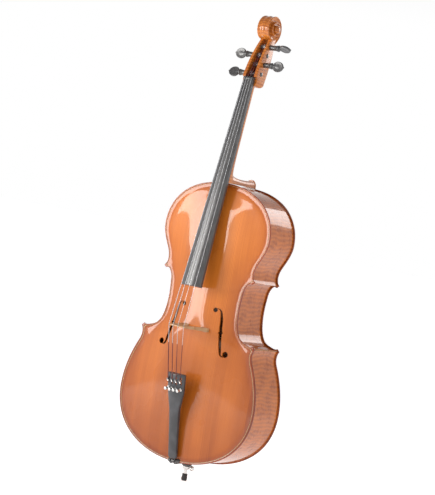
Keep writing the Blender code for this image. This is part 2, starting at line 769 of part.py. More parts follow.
def neck_sections():
    """From the nut down to the button. The sections turn as they go round the heel."""
    sections = []
    for u, depth in SHAFT:
        under = min(u, 0)
        front = body_point(0, board_depth(under) + GAP, u)
        sections.append(neck_section(front, body_point(0, depth, u), board_width(under) / 2, 0.0))
    for u, (y, z) in HEEL_UNDER_BOARD:
        front = body_point(0, board_depth(u) + GAP, u)
        sections.append(neck_section(front, Vector((0, y, z)), board_width(u) / 2, 0.5))
    for front_y, (y, z), half in HEEL_OVER_BODY:
        front = Vector((0, front_y, BODY_LENGTH + GAP))
        sections.append(neck_section(front, Vector((0, y, z)), half, 1.0))
    return sections


def peg_box_front(u):
    return WALL_FRONT + WALL_CURVE * u**2


def peg_box_back(u):
    return BACK_DEPTH + BACK_SWELL * math.sin(math.pi * min(u, 120) / 150) + 0.02 * u


def peg_box_half(u):
    return BOX_HALF - BOX_TAPER * (u / 135)


def spiral_outline(start_radius, end_radius, first, last, steps):
    """A spiral arm closed back on itself through the eye, as (back, up) points."""
    points = []
    for step in range(steps + 1):
        t = step / steps
        angle = math.radians(first + (last - first) * t)
        radius = start_radius + (end_radius - start_radius) * t
        points.append((SCROLL_EYE[0] + radius * math.cos(angle), SCROLL_EYE[1] + radius * math.sin(angle)))
    return points


def side_prism(name, outline, half_width):
    """A plate across the peg box, from an outline of (back, up)."""
    flat = flat_outline(name, [outline], 2 * half_width)
    turn = Matrix(((0, 1, 0), (1, 0, 0), (0, 0, 1))).to_4x4()
    flat.data.transform(turn)
    flat.data.flip_normals()
    return flat


def peg_v(name):
    """How far back of the nut's crown a peg's axis is."""
    u = PEG_U[name]
    return (1 - PEG_SHARE) * peg_box_front(u) + PEG_SHARE * peg_box_back(u)


def peg_box_solid():
    """The box outside, with its back edges eased and its chin rounded in under the nut."""
    sections = []
    for u in (-CHIN + 0.5, -CHIN + 3, -CHIN / 2, -GAP, 4, 25, 50, 75, 100, 122, BOX_TOP):
        front, back, half = peg_box_front(max(u, 0)), peg_box_back(max(u, 0)), peg_box_half(max(u, 0))
        if u < 0:
            fall = 1 - math.sqrt(1 - (u / CHIN) ** 2)
            front = board_depth(0) + 2 * GAP
            back -= CHIN_DEPTH * fall
            half -= CHIN_WIDTH * fall
        inset = min(half * 0.28, BOX_EDGE - 1.0)
        right = [(half, front, u), (half, back - BOX_EDGE, u), (half - inset, back, u)]
        sections.append([*right, *[(-x, v, up) for x, v, up in reversed(right)]])
    return loft("peg_box", sections)


def peg_box_hollow():
    """The trough the strings are wound in. It is shallow under the scroll."""
    sections = []
    for u in (NUT_DEPTH, 30, 60, 90, 112, TROUGH_TOP):
        front, back, half = peg_box_front(u), peg_box_back(u), peg_box_half(u)
        inside = half - (WALL - WALL_THINNING * (u / TROUGH_TOP))
        floor = front + 12 if u == TROUGH_TOP else back - FLOOR
        right = [(inside, front - 40, u), (inside - 1.0, floor, u)]
        sections.append([*right, *[(-x, v, up) for x, v, up in reversed(right)]])
    return loft("peg_box_hollow", sections)


def make_neck():
    """The neck, its heel and tenon, the peg box and the scroll: one piece of maple."""
    neck = finish(loft("neck_and_scroll", neck_sections()), looks["maple"], SMOOTH)
    place(neck, body_frame)
    reach = RIB_HEIGHT / 2 - TENON_INSET
    tenon = box("tenon", (-TENON_HALF, -reach, TENON_Z), (TENON_HALF, reach, BODY_LENGTH + 6))
    change(neck, tenon, body_frame, "UNION")
    change(neck, peg_box_solid(), neck_frame, "UNION")
    for i, (radius, shrink, half) in enumerate(SCROLL_STEPS):
        first = SCROLL_FIRST + SCROLL_NEXT * i
        outline = spiral_outline(radius, radius * shrink, first, first + SCROLL_SWEEP, 18)
        change(neck, side_prism(f"scroll_step_{i}", outline, half), neck_frame, "UNION")
    change(neck, peg_box_hollow(), neck_frame)
    wide = 2 * BOX_HALF
    seat = box("nut_seat", (-wide, -20, -GAP), (wide, board_depth(0) - NUT_SEAT, NUT_DEPTH + GAP))
    change(neck, seat, neck_frame)
    for name in STRINGS:
        v, u = peg_v(name), PEG_U[name]
        hole = rod(f"peg_hole_{name}", PEG_RADIUS + PEG_CLEARANCE, (-wide, v, u), (wide, v, u), 24)
        change(neck, hole, neck_frame)


def make_fingerboard():
    sections = []
    for u in (-GAP, -BOARD_LENGTH / 3, -2 * BOARD_LENGTH / 3, -BOARD_LENGTH):
        half = board_width(u) / 2
        depth = board_depth(u)
        arc = [half * (1 - step / 5) for step in range(11)]
        crown = [(x, sagitta(BOARD_RADIUS, x), u) for x in arc]
        sections.append([*crown, (-half, depth, u), (half, depth, u)])
    board = finish(loft("fingerboard", sections), looks["ebony"], SMOOTH)
    place(board, neck_frame)


def make_nut():
    """The ebony bar that the strings bend over. It falls away towards the pegs."""
    half = BOARD_NUT_WIDTH / 2 - 0.2
    seat = board_depth(0) - NUT_SEAT - GAP
    sections = []
    for u, lift in ((0.0, NUT_LIFT), (3.0, NUT_LIFT), (6.5, -0.8), (NUT_DEPTH, -4.0)):
        arc = [half * (1 - step / 4) for step in range(9)]
        crown = [(x, sagitta(BOARD_RADIUS, x) - lift, u) for x in arc]
        sections.append([*crown, (-half, seat, u), (half, seat, u)])
    nut = finish(loft("nut", sections), looks["ebony"], SMOOTH)
    place(nut, neck_frame)


# ---------------------------------------------------------------- pegs

PEG_HEAD_X = 64.0  # centre of the thumb piece from the instrument's centre plane
THUMB_SIZE = (14.5, 5.2, 15.5)  # half its width, thickness and length
COIL_INNER, COIL_OUTER = PEG_RADIUS + 0.45, PEG_RADIUS + 2.2
COIL_HALF = 4.0
COIL_X = {"c": -6.0, "g": -3.0, "d": 2.5, "a": 6.0}


def peg_profile(wall):
    """A peg's turned outline, from its collar down its tapered shaft to past the far wall."""
    head = PEG_HEAD_X
    far = -wall - 1.5
    stem = [(0.0, head - 12.0), (4.2, head - 12.0), (5.2, head - 15.5)]
    collar = [(8.6, head - 17.0), (8.8, head - 20.5), (6.4, head - 22.5)]
    shaft = [(PEG_RADIUS, wall + 14), (PEG_RADIUS - 0.9, far + 1), (PEG_RADIUS - 2.2, far)]
    return [*stem, *collar, *shaft, (0.0, far)]


def thumb_piece(name):
    """A flat round leaf whose faces look along the peg's own Y."""
    bm = bmesh.new()
    bmesh.ops.create_uvsphere(bm, u_segments=16, v_segments=8, radius=1.0)
    stretch = Matrix.Diagonal((*(Vector(THUMB_SIZE) * MM), 1))
    bmesh.ops.transform(bm, verts=bm.verts, matrix=Matrix.Translation((0, 0, PEG_HEAD_X * MM)) @ stretch)
    mesh = bpy.data.meshes.new(name)
    bm.to_mesh(mesh)
    bm.free()
    return bpy.data.objects.new(name, mesh)


def make_pegs():
    """Each peg turns about its own Z, which runs from its thin end out to its thumb piece."""
    ring = [(COIL_OUTER, COIL_HALF), (COIL_OUTER, -COIL_HALF)]
    ring += [(COIL_INNER, -COIL_HALF), (COIL_INNER, COIL_HALF)]
    for name in STRINGS:
        across = Matrix.Rotation(math.radians(90 * PEG_SIDE[name]), 3, "Y")
        turn = across @ Matrix.Rotation(math.radians(PEG_TURN[name]), 3, "Z")
        axis = (0, peg_v(name), PEG_U[name])
        peg = turned(f"peg_{name}", peg_profile(peg_box_half(PEG_U[name])), 20)
        finish(peg, looks["ebony"])
        place(peg, neck_frame, axis, turn)
        thumb = as_cutter(thumb_piece(f"thumb_{name}"))
        place(thumb, neck_frame, axis, turn)
        boolean(peg, thumb, "UNION")
        coil = turned(f"string_coil_{name}", [*ring, ring[0]], 16)
        finish(coil, looks["steel_wound"])
        place(coil, neck_frame, (COIL_X[name], peg_v(name), PEG_U[name]), across)


# ---------------------------------------------------------------- bridge

BRIDGE_LIFT = 0.8  # of the feet over the top's crown line
BRIDGE_FOOT_THICKNESS, BRIDGE_TAPER = 11.0, 0.72  # at the feet, and the share lost at the crest
# The right half, as (x, height over the crown line): side, kidney, leg and the arch between the legs.
BRIDGE_CREST_X = (0.0, 7.8, 15.6, 22.0, 25.6)
BRIDGE_SIDE = ((27.0, 80.5), (28.0, 73), (31.2, 62), (34.0, 57.6))
BRIDGE_KIDNEY_TOP = ((30.0, 56.8), (25.5, 61), (20.5, 62.6), (15.5, 59.5), (14, 55))
BRIDGE_KIDNEY_LOW = ((16, 49.5), (21, 47), (26, 49), (30, 52.6))
BRIDGE_LEG = ((34.4, 52), (34.6, 47.5), (31.4, 43.5), (30, 39), (31, 31), (35.5, 17), (40, 8.5), (45, 4.5))
FOOT_X = (45.0, 36.0, 28.0, 19.5)
BRIDGE_ARCH = ((19.5, 3), (23.4, 6.5), (25.6, 13), (24.4, 22.5), (20.0, 30), (13, 35), (0, 38))
HEART = ((0, 61.5), (3.2, 66), (7.4, 66.6), (9.2, 62.4), (7.0, 56.5), (2.8, 51.5), (2.2, 45.8))
TOP_HALF_ACROSS = 128.0  # from the centre line to the arch's foot, at the bridge


def crown_fall(x):
    """How far the top has fallen from its crown, at the bridge's line."""
    return TOP_ARCH * (0.5 - 0.5 * math.cos(math.pi * (abs(x) / TOP_HALF_ACROSS) ** 1.25))


def make_bridge():
    """A cello bridge on two feet, cut with a heart and two kidneys, and thin at the top."""
    crest = [(x, BRIDGE_HEIGHT - sagitta(BRIDGE_RADIUS, x)) for x in BRIDGE_CREST_X]
    sole = [(x, -crown_fall(x)) for x in FOOT_X]
    kidney = [*BRIDGE_KIDNEY_TOP, *BRIDGE_KIDNEY_LOW]
    right = [*crest, *BRIDGE_SIDE, *kidney, *BRIDGE_LEG, *sole, *BRIDGE_ARCH]
    loop = right + [(-x, z) for x, z in reversed(right[1:-1])]
    heart = [*HEART, *[(-x, z) for x, z in reversed(HEART[1:])]]
    bridge = flat_outline("bridge", [loop, heart], BRIDGE_FOOT_THICKNESS)
    for vertex in bridge.data.vertices:
        share = max(0.0, min(1.0, vertex.co.z / (BRIDGE_HEIGHT * MM)))
        vertex.co.y *= 1.0 - BRIDGE_TAPER * share
    # It is drawn in XZ with its height up Z. Stand it out of the top along -Y.
    stand = Matrix(((1, 0, 0, 0), (0, 0, -1, 0), (0, 1, 0, 0), (0, 0, 0, 1)))
    bridge.data.transform(stand)
    finish(bridge, looks["bridge_maple"], 30)
    place(bridge, body_frame, (0, CROWN_Y - BRIDGE_LIFT, STOP_Z))


# ---------------------------------------------------------------- tailpiece and tuners

TAIL_LENGTH = 234.0
TAIL_HALF, TAIL_SPREAD = 13.0, 6.0  # half width at the cord's end, and how much it gains evenly
HEAD_LOW, HEAD_HIGH, HEAD_SPREAD = 130.0, 190.0, 8.6  # where it flares out to its head, and by how much
TAIL_SKIRT, SKIRT_SPREAD = 9.0, 7.5  # depth of the sides, likewise
TAIL_STATIONS = (60, 130, 145, 160, 175, 190, 212)
TAIL_WALL = 3.6
TAIL_ENDS = {0: (4.0, 2.0), TAIL_LENGTH: (3.0, 1.6)}  # how far each end is drawn in, and dropped
SLOT_HALF, SLOT_LOW, SLOT_HIGH = 2.6, 205.0, 226.0  # the slots for the forks
SCREW_HOLE, CORD_HOLE, CORD_DEPTH = 2.3, 2.1, 6.2  # radii, and the cord's depth under the surface
TAIL_FOOT = (-79.0, 9.0)  # y and z of its bottom end's surface
TAIL_AIM = 2.0  # its surface line points this far under the bridge's top
TAIL_ANGLE = math.atan2(TAIL_FOOT[0] - BRIDGE_TOP_Y - TAIL_AIM, STOP_Z - TAIL_FOOT[1])
LEVER_AXLE = (11.0, 218.0)  # under the surface and up the tailpiece
SCREW_P = 194.0
TUNER_X = {"c": -19.5, "g": -6.5, "d": 6.5, "a": 19.5}
TAIL_ARC_RADIUS = 46.0
TAIL_CORD_X = 7.0
AXLE_RADIUS, AXLE_HALF = 1.2, 25.4
LEVER_HALF, FORK_HALF = 1.9, 1.2  # half widths of the lever and of the fork's slot
ARM_TOP = 0.6  # the lever's arm, under its axle
KNOB_TOP = -12.5  # how far the tuner screws' knobs stand out
FORK_FLOOR = -0.8  # where the string lies in the fork, over the surface line


def tail_half(p):
    """Half width at a place p up the tailpiece."""
    share = max(0.0, min(1.0, (p - HEAD_LOW) / (HEAD_HIGH - HEAD_LOW)))
    flare = share**2 * (3 - 2 * share)
    return TAIL_HALF + TAIL_SPREAD * (p / TAIL_LENGTH) ** 2 + HEAD_SPREAD * flare


def tail_skirt(p):
    """Depth of the sides below the surface line."""
    return TAIL_SKIRT + SKIRT_SPREAD * (p / TAIL_LENGTH) ** 1.2


def tail_section(p, inset, top_drop, bottom):
    """A section with an arched top, and a flat bottom at a depth."""
    half = tail_half(p) - inset
    xs = [half * (1 - step / 4) for step in range(9)]
    arc = [(x, sagitta(TAIL_ARC_RADIUS, x) + top_drop, p) for x in xs]
    return [*arc, (-half, bottom, p), (half, bottom, p)]


def make_tailpiece():
    """A moulded shell, open underneath, with a slot and a screw hole for each fine tuner."""
    sections = []
    for p in (0, 5, *TAIL_STATIONS, 231, TAIL_LENGTH):
        inset, drop = TAIL_ENDS.get(p, (0.0, 0.0))
        sections.append(tail_section(p, inset, drop, tail_skirt(p) - drop))
    tail = finish(loft("tailpiece", sections), looks["black_plastic"], SMOOTH)
    place(tail, tail_frame)
    inner = [tail_section(p, TAIL_WALL, TAIL_WALL + 0.6, 40) for p in (12, *TAIL_STATIONS, 228)]
    change(tail, loft("tail_hollow", inner), tail_frame)
    for name in STRINGS:
        x = TUNER_X[name]
        slot = box(f"tuner_slot_{name}", (x - SLOT_HALF, -20, SLOT_LOW), (x + SLOT_HALF, 12, SLOT_HIGH))
        change(tail, slot, tail_frame)
        hole = rod(f"tuner_hole_{name}", SCREW_HOLE, (x, -20, SCREW_P), (x, 20, SCREW_P))
        change(tail, hole, tail_frame)
    change(tail, axle_rod("axle_bore", AXLE_RADIUS + GAP, AXLE_HALF + 0.4), tail_frame)
    for side, x in (("bass", -TAIL_CORD_X), ("treble", TAIL_CORD_X)):
        hole = rod(f"cord_hole_{side}", CORD_HOLE, (x, CORD_DEPTH, -10), (x, CORD_DEPTH, 30), 12)
        change(tail, hole, tail_frame)


def axle_rod(name, radius, half):
    """A rod across the tailpiece on the levers' axis."""
    back, up = LEVER_AXLE
    return rod(name, radius, (-half, back, up), (half, back, up), 12)


def make_tuners():
    axle = finish(axle_rod("tuner_axle", AXLE_RADIUS, AXLE_HALF), looks["steel"], SMOOTH)
    place(axle, tail_frame)
    axle_hole = as_cutter(axle_rod("lever_bore", AXLE_RADIUS + 0.35, AXLE_HALF + 1.6))
    place(axle_hole, tail_frame)
    for name in STRINGS:
        make_lever(name, axle_hole)
        make_tuner_screw(name)


def make_lever(name, axle_hole):
    """An upright fork that holds the string, and a long arm below that its screw pushes."""
    x = TUNER_X[name]
    back, up = LEVER_AXLE
    fork = [(ARM_TOP, 3.4), (-2.6, 3.0), (-14.6, 2.6), (-14.6, -1.6), (-3.0, -2.8)]
    arm = [(ARM_TOP, -20), (ARM_TOP, -28), (3.4, -28), (3.6, -12), (3.0, 0)]
    lever = side_prism(f"tuner_lever_{name}", fork + arm, LEVER_HALF)
    finish(lever, looks["steel"])
    place(lever, tail_frame, (x, back, up))
    low, high = (x - FORK_HALF, -15, up - 18), (x + FORK_HALF, back - 7.5, up + 22)
    change(lever, box(f"fork_slot_{name}", low, high), tail_frame)
    boolean(lever, axle_hole)


def make_tuner_screw(name):
    """A knob and a shank that ends just over the lever's arm."""
    low = KNOB_TOP - (LEVER_AXLE[0] + ARM_TOP - GAP)
    knob = [(0.0, 0.0), (2.6, 0.0), (4.3, -0.9), (4.3, -6.6), (3.2, -7.6)]
    shank = [(1.8, -8.4), (1.8, low + 1), (0.0, low)]
    screw = turned(f"tuner_screw_{name}", knob + shank, 16)
    finish(screw, looks["steel"])
    place(screw, tail_frame, (TUNER_X[name], KNOB_TOP, SCREW_P), Matrix.Rotation(math.radians(90), 3, "X"))


# ---------------------------------------------------------------- end pin and tail cord

COLLAR_BORE = 5.4
PIN_RADIUS = 5.0
PIN_LENGTH = 455.0
PIN_TIP, PIN_POINT = 6.0, 7.0  # the pin's end over the foot's underside, and how long its point is
TIP_TOP = -32.5  # the rubber foot's upper edge
PLUG_TOP, COLLAR_END = 30.0, -20.0
SCREW_X, SCREW_Z = 10.5, -15.2  # the thumbscrew's, where its thread meets the collar
SCREW_RADIUS = 2.4
CORD_RADIUS = 1.5
# The cord from the saddle down the end and round the collar's neck, to its middle.
CORD_LEG = ((7.6, -62, -3.4), (9, -40, -1.6), (11.4, -16, -1.2), (12.4, -6, -1.2), (12.4, 3, -1.2))
CORD_BEND = ((8.8, 9.6, -1.2), (0, 13, -1.2))


def make_end_pin_collar():
    """A tapered plug in the end block, a flange the cord goes round, and a neck for the screw."""
    plug = [(9.0, PLUG_TOP), (11.4, PLUG_TOP), (PLUG_RADIUS - GAP, 3.6), (10.6, 3.0), (10.6, -5.5)]
    flange = [(14.2, -6.4), (14.2, -9.4), (10.6, -11.4)]
    neck = [(9.8, COLLAR_END + 1.2), (8.8, COLLAR_END), (COLLAR_BORE, COLLAR_END)]
    profile = [*plug, *flange, *neck, (COLLAR_BORE, PLUG_TOP), plug[0]]
    collar = finish(turned("end_pin_collar", profile, 24), looks["ebony"])
    place(collar, body_frame)
    hole = rod("collar_screw_hole", SCREW_RADIUS + GAP, (4, 0, SCREW_Z), (14, 0, SCREW_Z), 12)
    change(collar, hole, body_frame)


def make_thumbscrew():
    knob = [(0.0, 13.0), (5.2, 13.0), (6.6, 11.8), (6.6, 5.4), (5.6, 4.4)]
    shank = [(SCREW_RADIUS, 4.0), (SCREW_RADIUS, -4.4), (0.0, -4.6)]
    screw = finish(turned("end_pin_thumbscrew", knob + shank, 16), looks["steel"])
    place(screw, body_frame, (SCREW_X, 0, SCREW_Z), Matrix.Rotation(math.radians(90), 3, "Y"))


def make_end_pin_rod():
    """The rod, which ends in a short point inside the rubber foot."""
    low = -FOOT_DROP + PIN_TIP
    top = low + PIN_LENGTH
    point = low + PIN_POINT
    profile = [(0.0, top), (4.0, top), (PIN_RADIUS, top - 1), (PIN_RADIUS, point + 2.0), (3.2, point)]
    pin = finish(turned("end_pin_rod", [*profile, (0.0, low)], 16), looks["steel"])
    place(pin, body_frame)


def make_rubber_foot():
    foot = -FOOT_DROP
    profile = [(5.4, TIP_TOP), (6.8, TIP_TOP), (7.3, TIP_TOP - 1.5), (6.9, foot + 12.5), (7.8, foot + 8)]
    profile += [(7.4, foot + 2.4), (5.6, foot), (0.0, foot)]
    inner = [(0.0, foot + 5.5), (3.6, foot + 11.0), (5.4, foot + 13.0), (5.4, TIP_TOP)]
    tip = finish(turned("end_pin_rubber_foot", profile + inner, 20), looks["rubber"])
    place(tip, body_frame)


def make_tail_cord():
    """The cord's own loop: out of the tailpiece, over the saddle, round the collar and back."""
    inside = tail_frame_point(TAIL_CORD_X, CORD_DEPTH, 22)
    mouth = tail_frame_point(TAIL_CORD_X, CORD_DEPTH, -1)
    x, top = TAIL_CORD_X, TOP_EDGE_Y - SADDLE_RISE - CORD_RADIUS - GAP
    over_saddle = ((x, top, 2.6), (x, top + 1.6, -1.4), (x, top + 6.0, -3.6))
    half = [inside, mouth, *(Vector(p) for p in (*over_saddle, *CORD_LEG, *CORD_BEND))]
    other = [Vector((-p.x, p.y, p.z)) for p in reversed(half[:-1])]
    cord = tube("tail_cord", smooth_path(half + other, 2), CORD_RADIUS, 1)
    finish(cord, looks["nylon"])
    place(cord, body_frame)


def tail_frame_point(x, back, up):
    """A point of the tailpiece's own axes, in the body's."""
    c, s = math.cos(TAIL_ANGLE), math.sin(TAIL_ANGLE)
    return Vector((x, TAIL_FOOT[0] + back * c - up * s, TAIL_FOOT[1] + back * s + up * c))


def make_strings():
    """Each string, from its winding on the peg over the nut and the bridge to its tuner's fork."""
    for name in STRINGS:
        radius = STRING_RADIUS[name]
        nut_x, bridge_x, tail_x = STRING_NUT_X[name], STRING_BRIDGE_X[name], TUNER_X[name]
        nut_v = sagitta(BOARD_RADIUS, nut_x) - NUT_LIFT - radius - GAP
        nut = body_point(nut_x, nut_v, 0.5)
        nut_back = body_point(nut_x, nut_v, 3.4)
        nut_end = body_point(nut_x * 0.98, nut_v + 2.4, 7.4)
        coil = body_point(COIL_X[name], peg_v(name) - COIL_OUTER - radius - GAP, PEG_U[name] - 1.0)
        top = BRIDGE_TOP_Y - BRIDGE_LIFT - radius - GAP + sagitta(BRIDGE_RADIUS, bridge_x)
        bridge = Vector((bridge_x, top, STOP_Z + 1.2))
        bridge_low = Vector((bridge_x, top, STOP_Z - 1.2))
        fork = tail_frame_point(tail_x, FORK_FLOOR, LEVER_AXLE[1] + 1.0)
        end = tail_frame_point(tail_x, FORK_FLOOR + 0.4, LEVER_AXLE[1] - 3.2)
        path = [coil, nut_end, nut_back, nut, bridge, bridge_low, fork, end]
        wire = tube(f"string_{name}", path, radius, 1)
        finish(wire, looks["steel_wound"])
        place(wire, body_frame)


# ---------------------------------------------------------------- build

clear_scene()
parts = new_collection("cello")
cutters = new_collection("cutters")
looks = {
    "spruce": material("spruce_varnished", (0.72, 0.28, 0.07), 0.2),
    "maple": material("maple_varnished", (0.55, 0.19, 0.05), 0.2),
    "ebony": material("ebony", (0.03, 0.028, 0.028), 0.35),
    "willow": material("willow", (0.72, 0.56, 0.36), 0.7),
    "spruce_bare": material("spruce_bare", (0.78, 0.62, 0.38), 0.7),
    "bridge_maple": material("bridge_maple", (0.70, 0.50, 0.28), 0.5),
    "black_plastic": material("black_plastic", (0.03, 0.03, 0.033), 0.35),
    "steel": material("steel", (0.62, 0.62, 0.62), 0.25, 1.0),
    "steel_wound": material("steel_wound", (0.55, 0.55, 0.56), 0.35, 1.0),
    "rubber": material("rubber", (0.02, 0.02, 0.02), 0.75),
    "nylon": material("nylon_cord", (0.08, 0.08, 0.08), 0.5),
}
body_frame = frame_empty("body_frame", (0, 0, FOOT_DROP), 0.0)
neck_frame = frame_empty("neck_frame", (0, NUT_Y, FOOT_DROP + NUT_Z), -NECK_ANGLE)
tail_frame = frame_empty("tail_frame", (0, TAIL_FOOT[0], FOOT_DROP + TAIL_FOOT[1]), TAIL_ANGLE)
plug_hole = as_cutter(rod("plug_hole", PLUG_RADIUS, (0, 0, -8), (0, 0, 60), 24))
place(plug_hole, body_frame)

make_top_plate()
make_back_plate()
make_ribs()
make_linings()
make_blocks()
make_bass_bar()
make_sound_post()
make_saddle()
make_neck()
make_fingerboard()
make_nut()
make_pegs()
make_bridge()
make_tailpiece()
make_tuners()
make_end_pin_collar()
make_thumbscrew()
make_end_pin_rod()
make_rubber_foot()
make_tail_cord()
make_strings()
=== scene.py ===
"""The looks of a full-size cello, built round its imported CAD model. Sizes are in millimetres."""

from math import atan, atan2, copysign, cos, degrees, exp, pi, radians, sin, sqrt, tan, tau

import bmesh
import bpy
from mathutils import Matrix, Vector


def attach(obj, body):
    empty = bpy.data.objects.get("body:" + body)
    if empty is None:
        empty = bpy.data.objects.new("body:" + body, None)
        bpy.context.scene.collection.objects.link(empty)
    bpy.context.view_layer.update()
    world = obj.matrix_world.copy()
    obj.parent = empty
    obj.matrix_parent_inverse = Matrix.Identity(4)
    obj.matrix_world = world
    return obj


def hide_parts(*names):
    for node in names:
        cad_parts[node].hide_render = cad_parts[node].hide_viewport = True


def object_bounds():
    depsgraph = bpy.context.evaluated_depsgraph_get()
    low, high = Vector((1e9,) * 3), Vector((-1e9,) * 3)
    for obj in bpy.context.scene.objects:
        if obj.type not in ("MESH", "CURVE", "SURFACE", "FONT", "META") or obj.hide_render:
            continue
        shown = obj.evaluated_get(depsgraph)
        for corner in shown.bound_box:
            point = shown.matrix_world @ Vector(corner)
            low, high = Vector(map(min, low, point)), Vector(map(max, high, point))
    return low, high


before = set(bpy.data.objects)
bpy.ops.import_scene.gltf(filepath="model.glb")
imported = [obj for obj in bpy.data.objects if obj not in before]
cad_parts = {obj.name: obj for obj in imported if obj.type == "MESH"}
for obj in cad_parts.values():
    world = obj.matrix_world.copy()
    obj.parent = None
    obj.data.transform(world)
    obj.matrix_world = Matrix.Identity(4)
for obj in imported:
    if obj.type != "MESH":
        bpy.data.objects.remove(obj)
cad_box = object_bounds()

MM = 0.001
BODY_LENGTH = 757.0
RIB_HEIGHT, RIB_THICKNESS, OVERHANG = 118.0, 1.6, 4.0
PLATE_EDGE = 4.5
TOP_ARCH, BACK_ARCH = 20.5, 21.5
STOP_Z, NECK_LENGTH = 364.0, 284.0
BOARD_LENGTH, BOARD_RADIUS, BOARD_EDGE = 575.0, 63.0, 9.0
BOARD_NUT_WIDTH, BOARD_END_WIDTH = 31.0, 62.0
BOARD_OVER_TOP, PROJECTION = 34.0, 101.0
BRIDGE_HEIGHT, BRIDGE_RADIUS, BRIDGE_LIFT = 89.0, 60.0, 0.8
FOOT_DROP = 52.0  # from the floor to the body's lower edge
BUTTON_RADIUS, BUTTON_RISE = 15.0, 8.0
SADDLE_HALF, SADDLE_DEPTH, SADDLE_RISE, SADDLE_GAP = 19.0, 9.0, 9.0, 0.4
NUT_DEPTH = 8.0
PEG_RADIUS, PEG_HEAD_X = 6.9, 64.0
TAIL_LENGTH, TAIL_RADIUS, TAIL_FOOT = 234.0, 46.0, (-79.0, 9.0)
TAIL_AIM = 2.0  # the tailpiece's line meets the bridge this far under its top
LEVER_P, SCREW_P = 218.0, 194.0  # up the tailpiece to the levers' axle and to the tuner screws

STRINGS = ("c", "g", "d", "a")
STRING_RADIUS = {"c": 0.9, "g": 0.75, "d": 0.6, "a": 0.5}
STRING_LIFT = 1.0  # how far a string runs over the fingerboard's curve at the nut
PEG_U = {"c": 22.0, "a": 50.0, "g": 77.0, "d": 103.0}
PEG_SIDE = {"c": -1, "g": -1, "d": 1, "a": 1}
PEG_TURN = {"c": 12.0, "g": -8.0, "d": 74.0, "a": 5.0}
COIL_X = {"c": -6.0, "g": -3.0, "d": 2.5, "a": 6.0}
COIL_TURNS, COIL_GAP = 4, 0.15


def spread(spacing):
    """The four strings' places across the cello."""
    return {name: spacing * (i - 1.5) for i, name in enumerate(STRINGS)}


STRING_NUT_X, STRING_BRIDGE_X, TUNER_X = spread(7.4), spread(15.6), spread(13.0)

TOP_EDGE_Y = -(RIB_HEIGHT / 2 + PLATE_EDGE)
BACK_EDGE_Y = -TOP_EDGE_Y
CROWN_Y = TOP_EDGE_Y - TOP_ARCH
NUT_Z = BODY_LENGTH + NECK_LENGTH
NECK_SLOPE = (PROJECTION - BOARD_OVER_TOP) / (BODY_LENGTH - STOP_Z)
NECK_ANGLE = atan(NECK_SLOPE)
NUT_Y = TOP_EDGE_Y - BOARD_OVER_TOP + NECK_SLOPE * NECK_LENGTH
TAIL_ANGLE = atan2(BRIDGE_HEIGHT - CROWN_Y - TAIL_AIM + TAIL_FOOT[0], STOP_Z - TAIL_FOOT[1])

# Three sets of axes. In the neck's, v goes back from the board's top and u goes up from the nut.
# In the tailpiece's, they go back from its face and up from its lower end.
QUARTER_X = Matrix.Rotation(radians(90), 4, "X")
QUARTER_Y = Matrix.Rotation(radians(90), 4, "Y")
FLOOR = Matrix()
BODY = Matrix.Translation((0, 0, FOOT_DROP))
NECK = Matrix.Translation((0, NUT_Y, FOOT_DROP + NUT_Z)) @ Matrix.Rotation(-NECK_ANGLE, 4, "X")
TAIL = Matrix.Translation((0, TAIL_FOOT[0], FOOT_DROP + TAIL_FOOT[1])) @ Matrix.Rotation(TAIL_ANGLE, 4, "X")

# The right half of the outline: x, z, heading in degrees, handle pull. Then the line where the arching ends.
LOWER = ((0, 0, 0, 1.12), (219, 170, 90, 1), (185, 300, 117, 1), (185.5, 339, 55, 1))
WAIST = (
    (178.5, 346, 212, 1), (150, 349, 165, 1), (120, 388, 103, 1), (115, 436, 90, 1), (118, 478, 84, 1),
    (131, 506, 40, 1), (141, 505, -20, 1),
)
UPPER = ((148, 511, 140, 1), (147, 560, 62, 1), (170, 624, 90, 1), (0, BODY_LENGTH, 180, 1.15))
INNER_LOWER = ((0, 18, 0, 1.12), (196, 172, 90, 1), (162, 290, 112, 1), (150, 318, 118, 1))
INNER_WAIST = (
    (147, 323, 120, 1), (127, 345, 128, 1), (101, 388, 103, 1), (96, 436, 90, 1), (99, 478, 84, 1),
    (108, 502, 70, 1), (116, 524, 66, 1),
)
INNER_UPPER = ((118, 529, 66, 1), (128, 560, 65, 1), (149, 624, 90, 1), (0, BODY_LENGTH - 18, 180, 1.15))
STEPS = ((28, 16, 12), (8, 16, 12, 10, 12, 6), (14, 14, 28))
SPINE_LOW, SPINE_HIGH = 150.0, 640.0


# ---- materials

WAVE = 314.0  # a wave texture's scale, times the spacing of its bands in millimetres
TINT_AND_SHADE_LOW, TINT_AND_SHADE_HIGH = 0.15, 0.75  # metres over the floor, between which the top's varnish tint and its painted light and shade change


def put(tree, socket, value):
    """Links a socket to another, or gives it a number, a vector or a colour."""
    if isinstance(value, bpy.types.NodeSocket):
        tree.links.new(value, socket)
    elif socket.type == "RGBA":
        socket.default_value = (*value, 1.0)
    else:
        socket.default_value = value


def fill(tree, holder, **values):
    """Puts values into a node's inputs by name."""
    for key, value in values.items():
        put(tree, holder.inputs[key.replace("_", " ")], value)


def new_material(name):
    made = bpy.data.materials.new(name)
    made.use_nodes = True
    tree = made.node_tree
    return made, tree, tree.nodes["Principled BSDF"]


def node(tree, kind, **settings):
    """A node with its own settings and its inputs filled in."""
    made = tree.nodes.new("ShaderNode" + kind)
    for key, value in settings.items():
        if hasattr(made, key):
            setattr(made, key, value)
        else:
            fill(tree, made, **{key: value})
    return made


def stretched(tree, scale):
    """Object coordinates, scaled apart along each axis."""
    place = node(tree, "TexCoord")
    return node(tree, "Mapping", Vector=place.outputs["Object"], Scale=scale).outputs[0]


